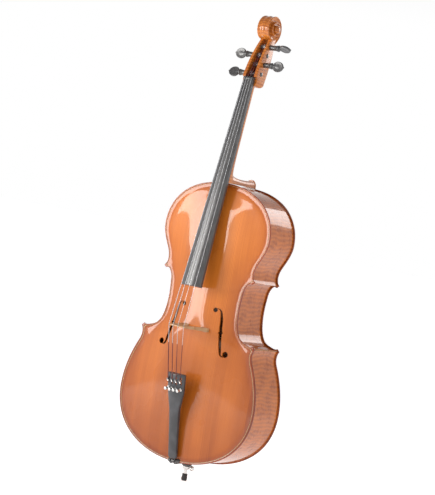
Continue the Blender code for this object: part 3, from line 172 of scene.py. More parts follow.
def noise(tree, place, scale=1.0, detail=3.0):
    """Noise over given coordinates, or over the object's own when place is how far to scale them."""
    where = stretched(tree, place) if isinstance(place, tuple) else place
    return node(tree, "TexNoise", Vector=where, Scale=scale, Detail=detail).outputs["Fac"]


def waves(tree, place, scale, axis, **settings):
    made = node(tree, "TexWave", Vector=place, Scale=scale, bands_direction=axis, **settings)
    return made.outputs["Fac"]


def summed(tree, kind, operation, *values):
    """A maths node's answer. Its inputs share one name, so they are filled in order."""
    made = node(tree, kind, operation=operation)
    for socket, value in zip(made.inputs, values):
        put(tree, socket, value)
    return made.outputs[0]


def ramp(tree, factor, *stops):
    made = node(tree, "ValToRGB", Fac=factor)
    elements = made.color_ramp.elements
    while len(elements) < len(stops):
        elements.new(0.5)
    for element, (position, colour) in zip(elements, stops):
        element.position = position
        element.color = (*colour, 1.0)
    return made.outputs[0]


def blend(tree, factor, first, second, mode="MIX"):
    """The second colour over the first, in the share that the factor gives."""
    made = node(tree, "Mix", data_type="RGBA", blend_type=mode)
    for socket, value in ((0, factor), (6, first), (7, second)):
        put(tree, made.inputs[socket], value)
    return made.outputs[2]


def multiplied(tree, first, second, factor=1.0):
    return blend(tree, factor, first, second, "MULTIPLY")


def bump(tree, shader, height, strength, distance):
    made = node(tree, "Bump", Height=height, Strength=strength, Distance=distance)
    fill(tree, shader, Normal=made.outputs[0])


def roughness_from(tree, shader, factor, low, high):
    made = node(tree, "MapRange", Value=factor, To_Min=low, To_Max=high)
    fill(tree, shader, Roughness=made.outputs[0])


def rim_shade(tree, colour, dark):
    """Darkens the varnish towards a plate's edge, from the mesh's own rim attribute."""
    rim = node(tree, "Attribute", attribute_name="rim")
    return multiplied(tree, colour, dark, rim.outputs["Fac"])


def varnish(tree, shader, colour, factor):
    """The colour under a clear glossy coat. The factor varies how rough it is."""
    fill(tree, shader, Base_Color=colour)
    fill(tree, shader, Specular_IOR_Level=0.15, Coat_Weight=0.7, Coat_Roughness=0.045, Coat_IOR=1.5)
    roughness_from(tree, shader, factor, 0.22, 0.34)


def tint_and_painted_light_by_height(tree, colour):
    """Darker and a little redder low on the body, brighter and more golden towards the neck: a little of it
    is the varnish's own change, most of it is painted shade low down and painted light high up.
    """
    place = node(tree, "TexCoord")
    height = node(tree, "SeparateXYZ", Vector=place.outputs["Object"])
    share = node(tree, "MapRange", Value=height.outputs["Z"], From_Min=TINT_AND_SHADE_LOW, From_Max=TINT_AND_SHADE_HIGH)
    # low darkens the varnish as painted shade, with a slight reddening; high brightens it as painted light
    low, middle, high = (0.74, 0.66, 0.62), (0.94, 0.90, 0.86), (1.12, 1.12, 1.10)
    return multiplied(tree, colour, ramp(tree, share.outputs[0], (0.0, low), (0.6, middle), (1.0, high)))


def spruce_varnished():
    """Straight grain up the top, finer in some strips than in others, under a clear orange varnish."""
    made, tree, shader = new_material("spruce_varnish")
    strips = noise(tree, (1, 0.2, 0.02), 22.0)
    upward = stretched(tree, (1, 0.15, 0.02))
    drift = strips.node.outputs["Color"]
    place = summed(tree, "VectorMath", "MULTIPLY_ADD", drift, (0.03, 0, 0), upward)
    lines = waves(tree, place, 146.0, "X", Distortion=1.4, Detail=2.0)
    fibre = noise(tree, (900, 60, 9), detail=4.0)
    winter, spring, summer = (0.42, 0.105, 0.012), (0.55, 0.155, 0.018), (0.62, 0.190, 0.025)
    grain = ramp(tree, lines, (0.0, winter), (0.25, spring), (1.0, summer))
    threads = ramp(tree, fibre, (0.3, (0.46, 0.115, 0.013)), (0.7, (0.74, 0.25, 0.036)))
    grain = blend(tree, 0.3, grain, threads)
    patches = noise(tree, (1, 1, 0.7), 6.0)
    grain = multiplied(tree, grain, ramp(tree, patches, (0.3, (0.84, 0.76, 0.70)), (0.7, (1.05, 1.05, 1.05))))
    streaks = ramp(tree, strips, (0.34, (0.84, 0.78, 0.74)), (0.62, (1.06, 1.07, 1.08)))
    # painted shade low on the body and painted light towards the neck, with a slight change of varnish tint
    grain = multiplied(tree, tint_and_painted_light_by_height(tree, grain), streaks)
    varnish(tree, shader, rim_shade(tree, grain, (0.50, 0.30, 0.20)), patches)
    bump(tree, shader, fibre, 0.10, 0.0004)
    return made


def chevron(tree, slope=0.22):
    """Coordinates whose height also falls away from the centre line, as in a back of two matched halves."""
    parts = node(tree, "SeparateXYZ", Vector=stretched(tree, (1, 1, 1)))
    x, y, z = parts.outputs
    aside = summed(tree, "Math", "ABSOLUTE", x)
    sloped = summed(tree, "Math", "MULTIPLY_ADD", aside, slope, z)
    joined = node(tree, "CombineXYZ", X=x, Y=y, Z=sloped)
    return node(tree, "Mapping", Vector=joined.outputs[0], Scale=(0.3, 0.3, 1)).outputs[0]


def maple_varnished(name, along=False, dark=(0.27, 0.058, 0.008), light=(0.56, 0.155, 0.020), period=11.0):
    """Flamed maple: soft bands across the grain. Along a rib, they follow its length."""
    made, tree, shader = new_material(name)
    if along:
        place = node(tree, "Attribute", attribute_name="along").outputs["Vector"]
        place = node(tree, "Mapping", Vector=place).outputs[0]
        fine = node(tree, "Mapping", Vector=place, Scale=(14, 900, 900)).outputs[0]
    else:
        place = chevron(tree)
        fine = stretched(tree, (900, 900, 14))
    axis = "X" if along else "Z"
    flame = waves(tree, place, WAVE / period, axis, Distortion=9.0, Detail=3.0, Detail_Scale=0.5)
    ripple = noise(tree, place, 30.0)
    pores = noise(tree, fine, detail=5.0)
    middle = tuple((a + b) / 2 for a, b in zip(dark, light))
    colour = ramp(tree, flame, (0.05, dark), (0.5, middle), (0.95, light))
    colour = blend(tree, 0.5, colour, ramp(tree, ripple, (0.38, dark), (0.62, light)))
    dots = ramp(tree, pores, (0.38, (0.80, 0.74, 0.70)), (0.6, (1.04, 1.03, 1.02)))
    colour = multiplied(tree, colour, dots)
    varnish(tree, shader, rim_shade(tree, colour, (0.62, 0.45, 0.34)), ripple)
    bump(tree, shader, pores, 0.08, 0.0004)
    return made


def bare_wood(name, dark, light, scale=(500, 500, 12), roughness=(0.5, 0.7)):
    """Unvarnished wood: fine grain, with a broader fleck over it."""
    made, tree, shader = new_material(name)
    grain = noise(tree, scale, detail=5.0)
    fleck = noise(tree, (60, 60, 30))
    fibres = ramp(tree, grain, (0.3, dark), (0.7, light))
    fill(tree, shader, Base_Color=blend(tree, 0.25, fibres, ramp(tree, fleck, (0.4, dark), (0.6, light))))
    roughness_from(tree, shader, grain, *roughness)
    bump(tree, shader, grain, 0.15, 0.0003)
    return made


def ebony():
    dark, light = (0.030, 0.028, 0.028), (0.085, 0.080, 0.078)
    made = bare_wood("ebony_polished", dark, light, (420, 420, 9), (0.24, 0.40))
    tree = made.node_tree
    fill(tree, tree.nodes["Principled BSDF"], Coat_Weight=0.5, Coat_Roughness=0.16)
    return made


def moulded(name, colour, low, high, grain=900.0, depth=0.12):
    """Plastic or rubber with a fine moulded texture."""
    made, tree, shader = new_material(name)
    skin = noise(tree, (1, 1, 1), grain)
    scuffs = noise(tree, (1, 1, 1), 45.0, 4.0)
    lighter = tuple(c * 1.7 + 0.004 for c in colour)
    fill(tree, shader, Base_Color=ramp(tree, scuffs, (0.4, colour), (0.8, lighter)))
    roughness_from(tree, shader, scuffs, low, high)
    bump(tree, shader, skin, depth, 0.0002)
    return made


def metal(name, colour, low, high):
    """Plated metal with faint handling marks."""
    made, tree, shader = new_material(name)
    marks = noise(tree, (300, 300, 300), detail=4.0)
    duller = tuple(c * 0.8 for c in colour)
    fill(tree, shader, Base_Color=ramp(tree, marks, (0.35, duller), (0.65, colour)), Metallic=1.0)
    roughness_from(tree, shader, marks, low, high)
    bump(tree, shader, marks, 0.04, 0.0002)
    return made


def wound_string(name, colour, period):
    """Steel with its flat winding showing as fine rings."""
    made, tree, shader = new_material(name)
    rings = waves(tree, stretched(tree, (0.05, 0.3, 1)), WAVE / period, "Z")
    dark = tuple(c * 0.55 for c in colour)
    fill(tree, shader, Base_Color=ramp(tree, rings, (0.0, dark), (0.5, colour)), Metallic=1.0)
    roughness_from(tree, shader, rings, 0.42, 0.25)
    bump(tree, shader, rings, 0.3, 0.0002)
    return made


# ---- pieces and shape helpers

def circle(radius, count, x=0.0, y=0.0):
    angles = [tau * k / count for k in range(count)]
    return [(x + radius * cos(t), y + radius * sin(t)) for t in angles]


def across(half, steps):
    """Even places from one side to the other."""
    return [half * (1 - 2 * k / steps) for k in range(steps + 1)]


def direction(path, i):
    """Which way a path runs at one of its points."""
    return (path[min(i + 1, len(path) - 1)] - path[max(i - 1, 0)]).normalized()


def running_lengths(path):
    lengths = [0.0]
    for a, b in zip(path, path[1:]):
        lengths.append(lengths[-1] + (b - a).length)
    return lengths


def sagitta(radius, x):
    """How far a circle has fallen from its crown, x to the side."""
    return radius - sqrt(radius**2 - x**2)


def interpolate(x, xs, ys):
    for x0, x1, y0, y1 in zip(xs, xs[1:], ys, ys[1:]):
        if x <= x1:
            return y0 + (y1 - y0) * max(0.0, (x - x0) / (x1 - x0))
    return ys[-1]


def catmull(a, b, c, d, t):
    """A point between b and c on the smooth curve through all four."""
    return 0.5 * (2 * b + (c - a) * t + (2 * a - 5 * b + 4 * c - d) * t**2 + (3 * b - a - 3 * c + d) * t**3)


def smooth_path(points, steps):
    points = [Vector(p) for p in points]
    ends = [points[0] * 2 - points[1], *points, points[-1] * 2 - points[-2]]
    path = []
    for corners in zip(ends, ends[1:], ends[2:], ends[3:]):
        path += [catmull(*corners, step / steps) for step in range(steps)]
    return [*path, points[-1]]


def flowing(points, steps=5):
    """A smooth line through points in one plane."""
    return [(p.x, p.y) for p in smooth_path([(x, z, 0) for x, z in points], steps)]


def grid(rows, loop=True, caps=True):
    """Points and faces of a skin over rows of points."""
    size = len(rows[0])
    faces = []
    for row in range(len(rows) - 1):
        low, high = row * size, (row + 1) * size
        for i in range(size if loop else size - 1):
            j = (i + 1) % size
            faces.append((low + i, low + j, high + j, high + i))
    if caps:
        faces += [tuple(range(size))[::-1], tuple(range((len(rows) - 1) * size, len(rows) * size))]
    return [p for row in rows for p in row], faces


def merged(*shapes):
    points, faces = [], []
    for more_points, more_faces in shapes:
        start = len(points)
        points += more_points
        faces += [tuple(i + start for i in face) for face in more_faces]
    return points, faces


def mirrored_x(shape):
    points, faces = shape
    return [(-p[0], p[1], p[2]) for p in points], [face[::-1] for face in faces]


def prism(outline, y_low, y_high):
    """A plate between two depths, from an outline of (x, z)."""
    return grid([[(x, y, z) for x, z in outline] for y in (y_low, y_high)])


def lathe(profile, sides=48, knurls=(), depth=0.0):
    """A turned shape about Z from (radius, height). Rows between the two knurl heights get ridges."""
    rows = []
    for radius, height in profile:
        ridged = knurls and knurls[0] <= height <= knurls[1]
        row = []
        for i, (x, y) in enumerate(circle(1.0, sides)):
            r = radius - (depth if ridged and i % 2 else 0.0)
            row.append((r * x, r * y, height))
        rows.append(row)
    return grid(rows)


def tube(path, radius, sides=12):
    """A round cord along a path."""
    path = [Vector(p) for p in path]
    side = direction(path, 0).orthogonal().normalized()
    rows = []
    for i, point in enumerate(path):
        along = direction(path, i)
        side = (side - along * side.dot(along)).normalized()
        other = along.cross(side)
        rows.append([tuple(point + (side * x + other * y) * radius) for x, y in circle(1.0, sides)])
    return grid(rows)


def raw_mesh(name, shape, matrix):
    points, faces = shape
    mesh = bpy.data.meshes.new(name)
    mesh.from_pydata([matrix @ Vector(p) * MM for p in points], [], faces)
    return mesh


def clean(mesh, weld=0.02):
    """Welds points that are closer than weld, and turns every face outwards."""
    bm = bmesh.new()
    bm.from_mesh(mesh)
    bmesh.ops.remove_doubles(bm, verts=bm.verts, dist=weld * MM)
    bmesh.ops.recalc_face_normals(bm, faces=bm.faces)
    bm.to_mesh(mesh)
    bm.free()
    return mesh


def add_object(name, data):
    obj = bpy.data.objects.new(name, data)
    bpy.context.scene.collection.objects.link(obj)
    return obj


def piece(name, shape, matrix, look, stands_for=(), body="cello", angle=35.0, bevel=0.0):
    """A finished visual piece. It is shaded smooth up to an angle and may have its edges eased."""
    mesh = shape if isinstance(shape, bpy.types.Mesh) else clean(raw_mesh(name, shape, matrix))
    obj = add_object(name, mesh)
    if not mesh.materials:
        mesh.materials.append(looks[look])
    if bevel:
        ease = obj.modifiers.new("eased", "BEVEL")
        ease.width = bevel * MM
        ease.segments = 3
        ease.limit_method = "ANGLE"
        ease.angle_limit = radians(angle)
        ease.harden_normals = True
    mesh.shade_smooth()
    mesh.set_sharp_from_angle(angle=radians(angle if not bevel else 60))
    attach(obj, body)
    if stands_for:
        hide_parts(*stands_for)
    return obj


def cut(mesh, cutters, matrix, name):
    """A mesh with cutters taken out of it. The cutters are shapes in the same axes."""
    whole = add_object(name + "_whole", mesh)
    tools = []
    for i, cutter in enumerate(cutters):
        tool = add_object(f"{name}_cutter_{i}", clean(raw_mesh(f"{name}_cutter_{i}", cutter, matrix)))
        tools.append(tool)
        modifier = whole.modifiers.new("cut", "BOOLEAN")
        modifier.object = tool
        modifier.solver = "EXACT"
    bpy.context.view_layer.update()
    result = bpy.data.meshes.new_from_object(whole.evaluated_get(bpy.context.evaluated_depsgraph_get()))
    for obj in (whole, *tools):
        bpy.data.objects.remove(obj)
    result.name = name
    return result


def cut_shape(shape, cutters, matrix, name):
    return cut(clean(raw_mesh(name, shape, matrix)), cutters, matrix, name)


# ---- outline

def heading_vector(heading):
    return Vector((cos(radians(heading)), sin(radians(heading))))


def run_points(stations, steps):
    """A curve through stations, each with its heading. A handle is a circle's, times the station's pull."""
    path = [Vector(stations[0][:2])]
    for start, end, count in zip(stations, stations[1:], steps):
        a, b = Vector(start[:2]), Vector(end[:2])
        turn = radians(abs((end[2] - start[2] + 180) % 360 - 180))
        share = 4 / 3 * tan(turn / 4) / (2 * sin(turn / 2)) if turn > 0.05 else 1 / 3
        reach = (b - a).length * share
        c = a + heading_vector(start[2]) * reach * start[3]
        d = b - heading_vector(end[2]) * reach * end[3]
        for step in range(1, count + 1):
            t = step / count
            path.append((1 - t) ** 3 * a + 3 * (1 - t) ** 2 * t * c + 3 * (1 - t) * t**2 * d + t**3 * b)
    return path


def three_runs(*runs):
    return [run_points(stations, steps) for stations, steps in zip(runs, STEPS)]


def offset(path, distance):
    """The path moved to its left."""
    along = [direction(path, i) for i in range(len(path))]
    return [point + Vector((-a.y, a.x)) * distance for point, a in zip(path, along)]


def trimmed(path, from_start, from_end):
    """The path cut short at both ends."""
    lengths = running_lengths(path)

    def at(distance):
        for i, (low, high) in enumerate(zip(lengths, lengths[1:])):
            if distance <= high:
                return path[i].lerp(path[i + 1], (distance - low) / (high - low))
        return path[-1].copy()

    last = lengths[-1] - from_end
    middle = [p for p, length in zip(path, lengths) if from_start + 0.3 < length < last - 0.3]
    return [at(from_start), *middle, at(last)]


RUNS = dict(zip(("lower", "waist", "upper"), three_runs(LOWER, WAIST, UPPER)))
HALF = RUNS["lower"] + RUNS["waist"] + RUNS["upper"]
HALF_LINE = sum(three_runs(INNER_LOWER, INNER_WAIST, INNER_UPPER), [])


def both_sides(right):
    return right + [Vector((-p.x, p.y)) for p in reversed(right[1:-1])]


def spine_heights():
    """Where each point of the arching's line meets the middle of the plate."""
    lengths = running_lengths(HALF_LINE)
    low, high = HALF_LINE[0].y, HALF_LINE[-1].y
    half = []
    for p, length in zip(HALF_LINE, lengths):
        share = 0.5 * (p.y - low) / (high - low) + 0.5 * length / lengths[-1]
        half.append(SPINE_LOW + (SPINE_HIGH - SPINE_LOW) * share)
    return half + half[-2:0:-1]


# ---- plates and ribs

# The edge in section: share of the way in to the arching's line, and height over the edge.
EDGE_INSIDE = ((0.05, -4.2), (0.012, -3.8), (0, -3), (0, -1.4))
EDGE_OUTSIDE = (
    (0.012, -0.5), (0.05, 0.25), (0.10, 0.5), (0.16, 0.35), (0.205, 0.1), (0.23, -0.02), (0.265, -0.14),
    (0.29, -0.2), (0.40, -0.32), (0.55, -0.2), (0.72, 0.28), (0.87, 0.9),
)
PURFLING_BANDS = {(0.205, 0.23): 1, (0.23, 0.265): 2, (0.265, 0.29): 1}
INSIDE_SHARES = (1.0, 0.6, 0.25, 0.0)
ARCH_SHARES = [i / 14 for i in range(15)]
PLATE_THICKNESS = 4.0
# How much lower the crown is at the spine's ends, the power of the arching's curve, and where it starts.
CROWN_FALL, ARCH_POWER, ARCH_START = 0.16, 0.8, 0.12


def arch_height(share, spine_z, arch):
    middle = (SPINE_LOW + SPINE_HIGH) / 2
    crown = arch * (1 - CROWN_FALL * ((spine_z - middle) / (SPINE_HIGH - middle)) ** 2)
    return crown * (0.5 - 0.5 * cos(pi * share**ARCH_POWER))


def plate_mesh(name, edge_y, arch, outward, slots):
    """A plate from the inside's middle out to the edge, round it, and back to the outside's middle."""
    outline, line, spine = both_sides(HALF), both_sides(HALF_LINE), spine_heights()
    rows, shares, rims = [], [], []

    def add_arch(share, sink):
        row = []
        for q, z in zip(line, spine):
            at = q.lerp(Vector((0, z)), share)
            height = arch_height(ARCH_START + (1 - ARCH_START) * share, z, arch) - sink
            row.append((at.x, edge_y + outward * height, at.y))
        rows.append(row)
        shares.append(None)
        rims.append(max(0.0, 0.35 - 0.9 * share))

    for share in INSIDE_SHARES:
        add_arch(share, PLATE_THICKNESS)
    for share, height in EDGE_INSIDE + EDGE_OUTSIDE:
        places = [p.lerp(q, share) for p, q in zip(outline, line)]
        rows.append([(at.x, edge_y + outward * height, at.y) for at in places])
        shares.append(share)
        rims.append(1.0 - 0.65 * share)
    for share in ARCH_SHARES:
        add_arch(share, 0.0)
    mesh = raw_mesh(name, grid(rows, caps=False), BODY)
    for look in slots:
        mesh.materials.append(looks[look])
    size = len(outline)
    for row in range(len(INSIDE_SHARES + EDGE_INSIDE), len(rows) - 1):
        band = PURFLING_BANDS.get((shares[row], shares[row + 1]), 0)
        for polygon in mesh.polygons[row * size:(row + 1) * size]:
            polygon.material_index = band
    rim = mesh.attributes.new("rim", "FLOAT", "POINT")
    for row, value in enumerate(rims):
        for i in range(size):
            rim.data[row * size + i].value = value
    return clean(mesh)


F_UPPER_EYE = (6.2, -51.0, 421.0)  # radius, x, z
F_LOWER_EYE = (8.0, -104.0, 310.0)
F_STEM = ((-57, 426.5), (-66, 421), (-71, 405), (-75, 378), (-80, 350), (-86, 322), (-91, 306), (-100, 302.5))
F_WIDTHS = (1.4, 4.2, 7.4, 8.6, 8.6, 7.8, 4.8, 1.6)
F_NOTCH = 1.65  # how many times wider the stem is at its two notches


def sound_hole_cutters(sign):
    middle = smooth_path([(x, z, 0) for x, z in F_STEM], 8)
    widths = smooth_path([(w, 0, 0) for w in F_WIDTHS], 8)
    left, right = [], []
    for i, point in enumerate(middle):
        along = direction(middle, i)
        wider = F_NOTCH if i == len(middle) // 2 else 1.0
        side = Vector((-along.y, along.x, 0)) * widths[i].x / 2 * wider
        left.append(point + side)
        right.append(point - side)
    loops = [[(p.x, p.y) for p in left + right[::-1]]]
    for radius, x, z in (F_UPPER_EYE, F_LOWER_EYE):
        loops.append(circle(radius, 36, x, z))
    return [prism([(x * sign, z) for x, z in loop], CROWN_Y - 8, CROWN_Y + 50) for loop in loops]


def make_top():
    mesh = plate_mesh("top", TOP_EDGE_Y, TOP_ARCH, -1, ("spruce", "purfling_dark", "purfling_light"))
    side, depth = SADDLE_HALF + SADDLE_GAP, SADDLE_DEPTH + SADDLE_GAP
    notch = prism([(-side, -5), (side, -5), (side, depth), (-side, depth)], -95, -50)
    cutters = [*sound_hole_cutters(1), *sound_hole_cutters(-1), notch]
    piece("top", cut(mesh, cutters, BODY, "top"), BODY, "spruce", ["top_plate"])


def make_back():
    mesh = plate_mesh("back", BACK_EDGE_Y, BACK_ARCH, 1, ("maple", "purfling_dark", "purfling_light"))
    piece("back", mesh, BODY, "maple", ["back_plate"])
    round_end = circle(BUTTON_RADIUS, 60, 0.0, BODY_LENGTH + BUTTON_RISE)[:31]
    side, root = BUTTON_RADIUS + 1.5, BODY_LENGTH - 7
    button = prism([*round_end, (-side, root), (side, root)], BACK_EDGE_Y - PLATE_EDGE + 0.3, BACK_EDGE_Y)
    piece("back_button", button, BODY, "neck_maple", bevel=0.9)


def make_ribs():
    """Six bent ribs. Each keeps its running length, so that its flame can follow the bend."""
    trims = {"lower": (0.1, 3.6), "waist": (1.6, 3.8), "upper": (3.6, 14.6)}
    half = RIB_HEIGHT / 2 - 0.1
    for run, (start, end) in trims.items():
        path = trimmed(offset(RUNS[run], OVERHANG), start, end)
        lengths = running_lengths(path)
        rows = []
        for p, q in zip(path, offset(path, RIB_THICKNESS)):
            rows.append([(p.x, -half, p.y), (p.x, half, p.y), (q.x, half, q.y), (q.x, -half, q.y)])
        treble = grid(rows)
        for side, shape in (("treble", treble), ("bass", mirrored_x(treble))):
            mesh = clean(raw_mesh(f"rib_{run}_{side}_shown", shape, BODY), 0.0001)
            along = mesh.attributes.new("along", "FLOAT_VECTOR", "POINT")
            for i, vertex in enumerate(mesh.vertices):
                along.data[i].vector = (lengths[i // 4] * MM, vertex.co.y, 0)
            piece(mesh.name, mesh, BODY, "rib_maple", [f"rib_{run}_{side}"])


# ---- neck and peg box

# Down the shaft: u and depth. Then round the heel: front point and back point as (y, z), and half width.
SHAFT = ((2, 33), (-8, 29.7), (-20, 29), (-65, 29.4), (-110, 30), (-155, 30.7), (-200, 31.6), (-228, 33))
HEEL = (
    ((-80, 785), (-55, 791), 22.6), ((-83.1, 766), (-51, 784), 23.2),
    ((-83.3, 757.4), (-43.5, 779.8), 23.3), ((-66, 757.4), (-33.5, 777), 22),
    ((-45, 757.4), (-17, 774.8), 20), ((-10, 757.4), (5, 773.8), 17.3),
    ((30, 757.4), (33, 774.2), 15.2), ((59.2, 757.4), (59.2, 776), 14.2),
)
BOX_FRONT, BOX_FRONT_CURVE = 4.0, 0.0018
BOX_BACK, BOX_BACK_LEAN, BOX_BULGE = 50.0, 0.02, 6.5
BOX_HALF, BOX_TAPER = 23.0, 6.5 / 135
BOX_FLUTE, BOX_WALL, BOX_FLOOR = 2.6, 8.6, 11.0
PEG_SHARE = 0.38  # a peg's place from the peg box's front to its back
HEEL_SHARE = 0.45  # past this share of the neck's length its sections grow squarer
CHIN, CHIN_DEPTH, CHIN_WIDTH = 14.0, 23.0, 6.5  # how far the box's rounded lower end reaches and draws in


def board_width(u):
    return BOARD_NUT_WIDTH + (BOARD_END_WIDTH - BOARD_NUT_WIDTH) * (-u / BOARD_LENGTH)


def board_depth(u):
    return BOARD_EDGE + sagitta(BOARD_RADIUS, board_width(u) / 2)


def peg_box_front(u):
    return BOX_FRONT + BOX_FRONT_CURVE * u**2


def peg_box_back(u):
    return BOX_BACK + BOX_BULGE * sin(pi * min(u, 120) / 150) + BOX_BACK_LEAN * u


def peg_box_half(u):
    return BOX_HALF - BOX_TAPER * u


def peg_v(name):
    front, back = peg_box_front(PEG_U[name]), peg_box_back(PEG_U[name])
    return front + (back - front) * PEG_SHARE


def in_neck(x, v, u):
    return NECK @ Vector((x, v, u))


def in_tail(x, v, u):
    return TAIL @ Vector((x, v, u))


def side_point(v, u):
    """Where a point of the neck's side view lies on the body's: depth and height."""
    place = BODY.inverted() @ in_neck(0, v, u)
    return place.y, place.z


def neck_shape():
    """The round-backed shaft and the heel, as one skin whose sections fan round to the button."""
    stations = []
    for u, depth in SHAFT:
        under = min(u, 0)
        front, back = side_point(board_depth(under) + 0.05, u), side_point(depth, u)
        stations.append((front, back, board_width(under) / 2))
    stations += HEEL
    fronts = smooth_path([(x, *front) for front, back, x in stations], 6)
    backs = smooth_path([(x, *back) for front, back, x in stations], 6)
    rows = []
    for k, (front, back) in enumerate(zip(fronts, backs)):
        share = max(0.0, (k / (len(fronts) - 1) - HEEL_SHARE) / (1 - HEEL_SHARE))
        row = []
        for step in range(33):
            angle = pi * step / 32
            aside = copysign(abs(cos(angle)) ** (1.0 - 0.22 * share), cos(angle))
            reach = 0.02 + 0.98 * sin(angle) ** (0.82 - 0.2 * share)
            point = front.lerp(back, reach)
            row.append((front.x * aside, point.y, point.z))
        rows.append([(front.x, front.y, front.z), *row, (-front.x, front.y, front.z)])
    return grid(rows)


def peg_box_section(u):
    """From the open face's edge round the fluted back. Under the nut the box draws in to its chin."""
    over = max(u, 0)
    front, back, half = peg_box_front(over), peg_box_back(over), peg_box_half(over)
    if u < 0:
        front = board_depth(0) + 0.4
        back -= CHIN_DEPTH * (1 - sqrt(1 - (u / CHIN) ** 2))
        half -= CHIN_WIDTH * (1 - sqrt(1 - (u / (CHIN + 0.5)) ** 2))
    flute = BOX_FLUTE * min(1.0, max(0.0, (u - 4) / 18))
    right = [(half - 0.8, front), (half, front + 0.8), (half, back - 6.0)]
    right += [(half - 0.8, back - 2.2), (half - 2.2, back - 0.6), (half - 4.0, back - 0.3)]
    right += [(half * x, back - flute * y) for x, y in ((0.62, 0.6), (0.42, 1.0), (0.22, 0.75), (0.07, 0.1))]
    return [(x, v, u) for x, v in right] + [(-x, v, u) for x, v in reversed(right)]


def peg_box_mesh():
    """The peg box, hollowed out, with the nut's seat cut into it."""
    stations = [-13.9, -13, -11, -8.5, -5.5, -2.5, -0.2] + [i * 4.0 for i in range(1, 36)]
    hollow = []
    for u in (NUT_DEPTH, 20, 30, 45, 60, 75, 90, 105, 112, 124):
        over = peg_box_front(u) - 40
        floor = peg_box_back(u) - BOX_FLOOR if u < 120 else peg_box_front(u) + 12
        half = peg_box_half(u) - BOX_WALL + 2.0 * (u / 124)
        hollow.append([(half, over, u), (half - 1, floor, u), (1 - half, floor, u), (-half, over, u)])
    seat = []
    for u in (-0.3, NUT_DEPTH + 0.2):
        floor = board_depth(0) - 0.9
        seat.append([(-40, -20, u), (40, -20, u), (40, floor, u), (-40, floor, u)])
    box = grid([peg_box_section(u) for u in stations])
    return cut_shape(box, [grid(hollow), grid(seat)], NECK, "peg_box")


# ---- scroll

EYE_V, EYE_U = 33.0, 152.0
FIRST_ANGLE, TURNS, TURN_STEPS = -70.0, 3.0, 180
# The spiral holds its radius for a part of its first turn, then shrinks by the same share in each turn.
THROAT_RADIUS, TURN_SHRINK, FIRST_HOLD = 37.5, 0.6, 0.44
SCROLL_CORE = (24.0, 15.0)  # radius and half width of the solid middle
VOLUTE_TURNS = (0.0, 0.45, 1.0, 1.5, 2.0, 2.5, 3.5)
VOLUTE_HALVES = (16.4, 17.0, 19.6, 23.2, 26.4, 29.0, 29.5)
EYE_RINGS = ((11.6, 21), (11.2, 23.5), (10.4, 26.5), (9.6, 29.3), (8.6, 30.5), (5, 31.5), (0.8, 31.8))


def scroll_radius(t):
    """The spiral's outer radius, after t turns from the throat."""
    sweep = 8.0 * max(0.0, 1 - t / 0.12) ** 2
    return sweep + THROAT_RADIUS * TURN_SHRINK ** max(0.0, t - FIRST_HOLD)


def scroll_half(t):
    return interpolate(t, VOLUTE_TURNS, VOLUTE_HALVES)


def scroll_section(t):
    """After t turns: (half width, radius) from the middle out, over an eased edge and down a scooped face."""
    radius, half, inner = scroll_radius(t), scroll_half(t), scroll_radius(t + 1)
    start = interpolate(t, (0.0, 0.96, 1.02, TURNS), (0.0, 0.0, 1.0, 1.0))
    base = start * (scroll_half(max(t - 1, 0)) - 2.6)
    flute = 2.4 * (1 - start)
    hollow = ((0, 0), (0.22, 0.6), (0.48, 1), (0.72, 0.7))
    wall = [(base + (half - base) * x, radius - flute * y) for x, y in hollow]
    edge = [(half - x, radius - y) for x, y in ((2.4, 0.2), (1.0, 0.3), (0.2, 1.0), (0.0, 2.1), (0.7, 3.4))]
    face = [(half - x, inner + (radius - inner) * y) for x, y in ((1.9, 0.6), (2.5, 0.35), (2.6, 0.12))]
    return [*wall, *edge, *face, (half - 2.4, inner - 0.4)]


def scroll_shape():
    """One side of the volute, wound round its eye."""
    rows = []
    for step in range(TURN_STEPS + 1):
        t = TURNS * step / TURN_STEPS
        angle = radians(FIRST_ANGLE + 360 * t)
        section = scroll_section(t)
        rows.append([(x, EYE_V + r * cos(angle), EYE_U + r * sin(angle)) for x, r in section])
    eye = [[(x, v, u) for v, u in circle(radius, 40, EYE_V, EYE_U)] for radius, x in EYE_RINGS]
    return merged(grid(rows, loop=False, caps=False), grid(eye))


def make_neck():
    one = scroll_shape()
    radius, half = SCROLL_CORE
    core = [[(x, v, u) for v, u in circle(radius, 48, EYE_V, EYE_U)] for x in (-half, half)]
    whole = merged(one, mirrored_x(one), grid(core))
    piece("scroll", whole, NECK, "neck_maple", angle=50)
    piece("peg_box", peg_box_mesh(), NECK, "neck_maple", angle=40)
    piece("neck", neck_shape(), BODY, "neck_maple", ["neck_and_scroll"], angle=45)


# ---- fingerboard and nut

BOARD_RELIEF = 0.25
# The nut in section: u and height over the fingerboard's curve.
NUT_SECTION = ((0, 0.8), (0.8, 1.25), (2.4, 1.3), (4.4, 0.4), (6.4, -1.6), (7.6, -4), (NUT_DEPTH, -5))


def make_board():
    rows = []
    for u in (-0.3, *[-BOARD_LENGTH * i / 24 for i in range(1, 24)], -BOARD_LENGTH):
        half, depth = board_width(u) / 2, board_depth(u)
        relief = BOARD_RELIEF * sin(pi * -u / BOARD_LENGTH)
        curve = [(x, sagitta(BOARD_RADIUS, x) + relief, u) for x in across(half, 40)]
        rows.append([*curve, (-half, depth, u), (half, depth, u)])
    piece("board", grid(rows), NECK, "ebony", ["fingerboard"], angle=30, bevel=0.5)


def make_nut():
    rows = []
    half, seat = BOARD_NUT_WIDTH / 2, board_depth(0) - 1.1
    for u, lift in NUT_SECTION:
        row = []
        for x in across(half, 60):
            groove = max(0.0, 0.9 - min(abs(x - s) for s in STRING_NUT_X.values())) * 0.5
            row.append((x, sagitta(BOARD_RADIUS, x) - lift + groove, u))
        rows.append([*row, (-half, seat, u), (half, seat, u)])
    piece("nut_shown", grid(rows), NECK, "ebony", ["nut"], angle=30)


# ---- pegs

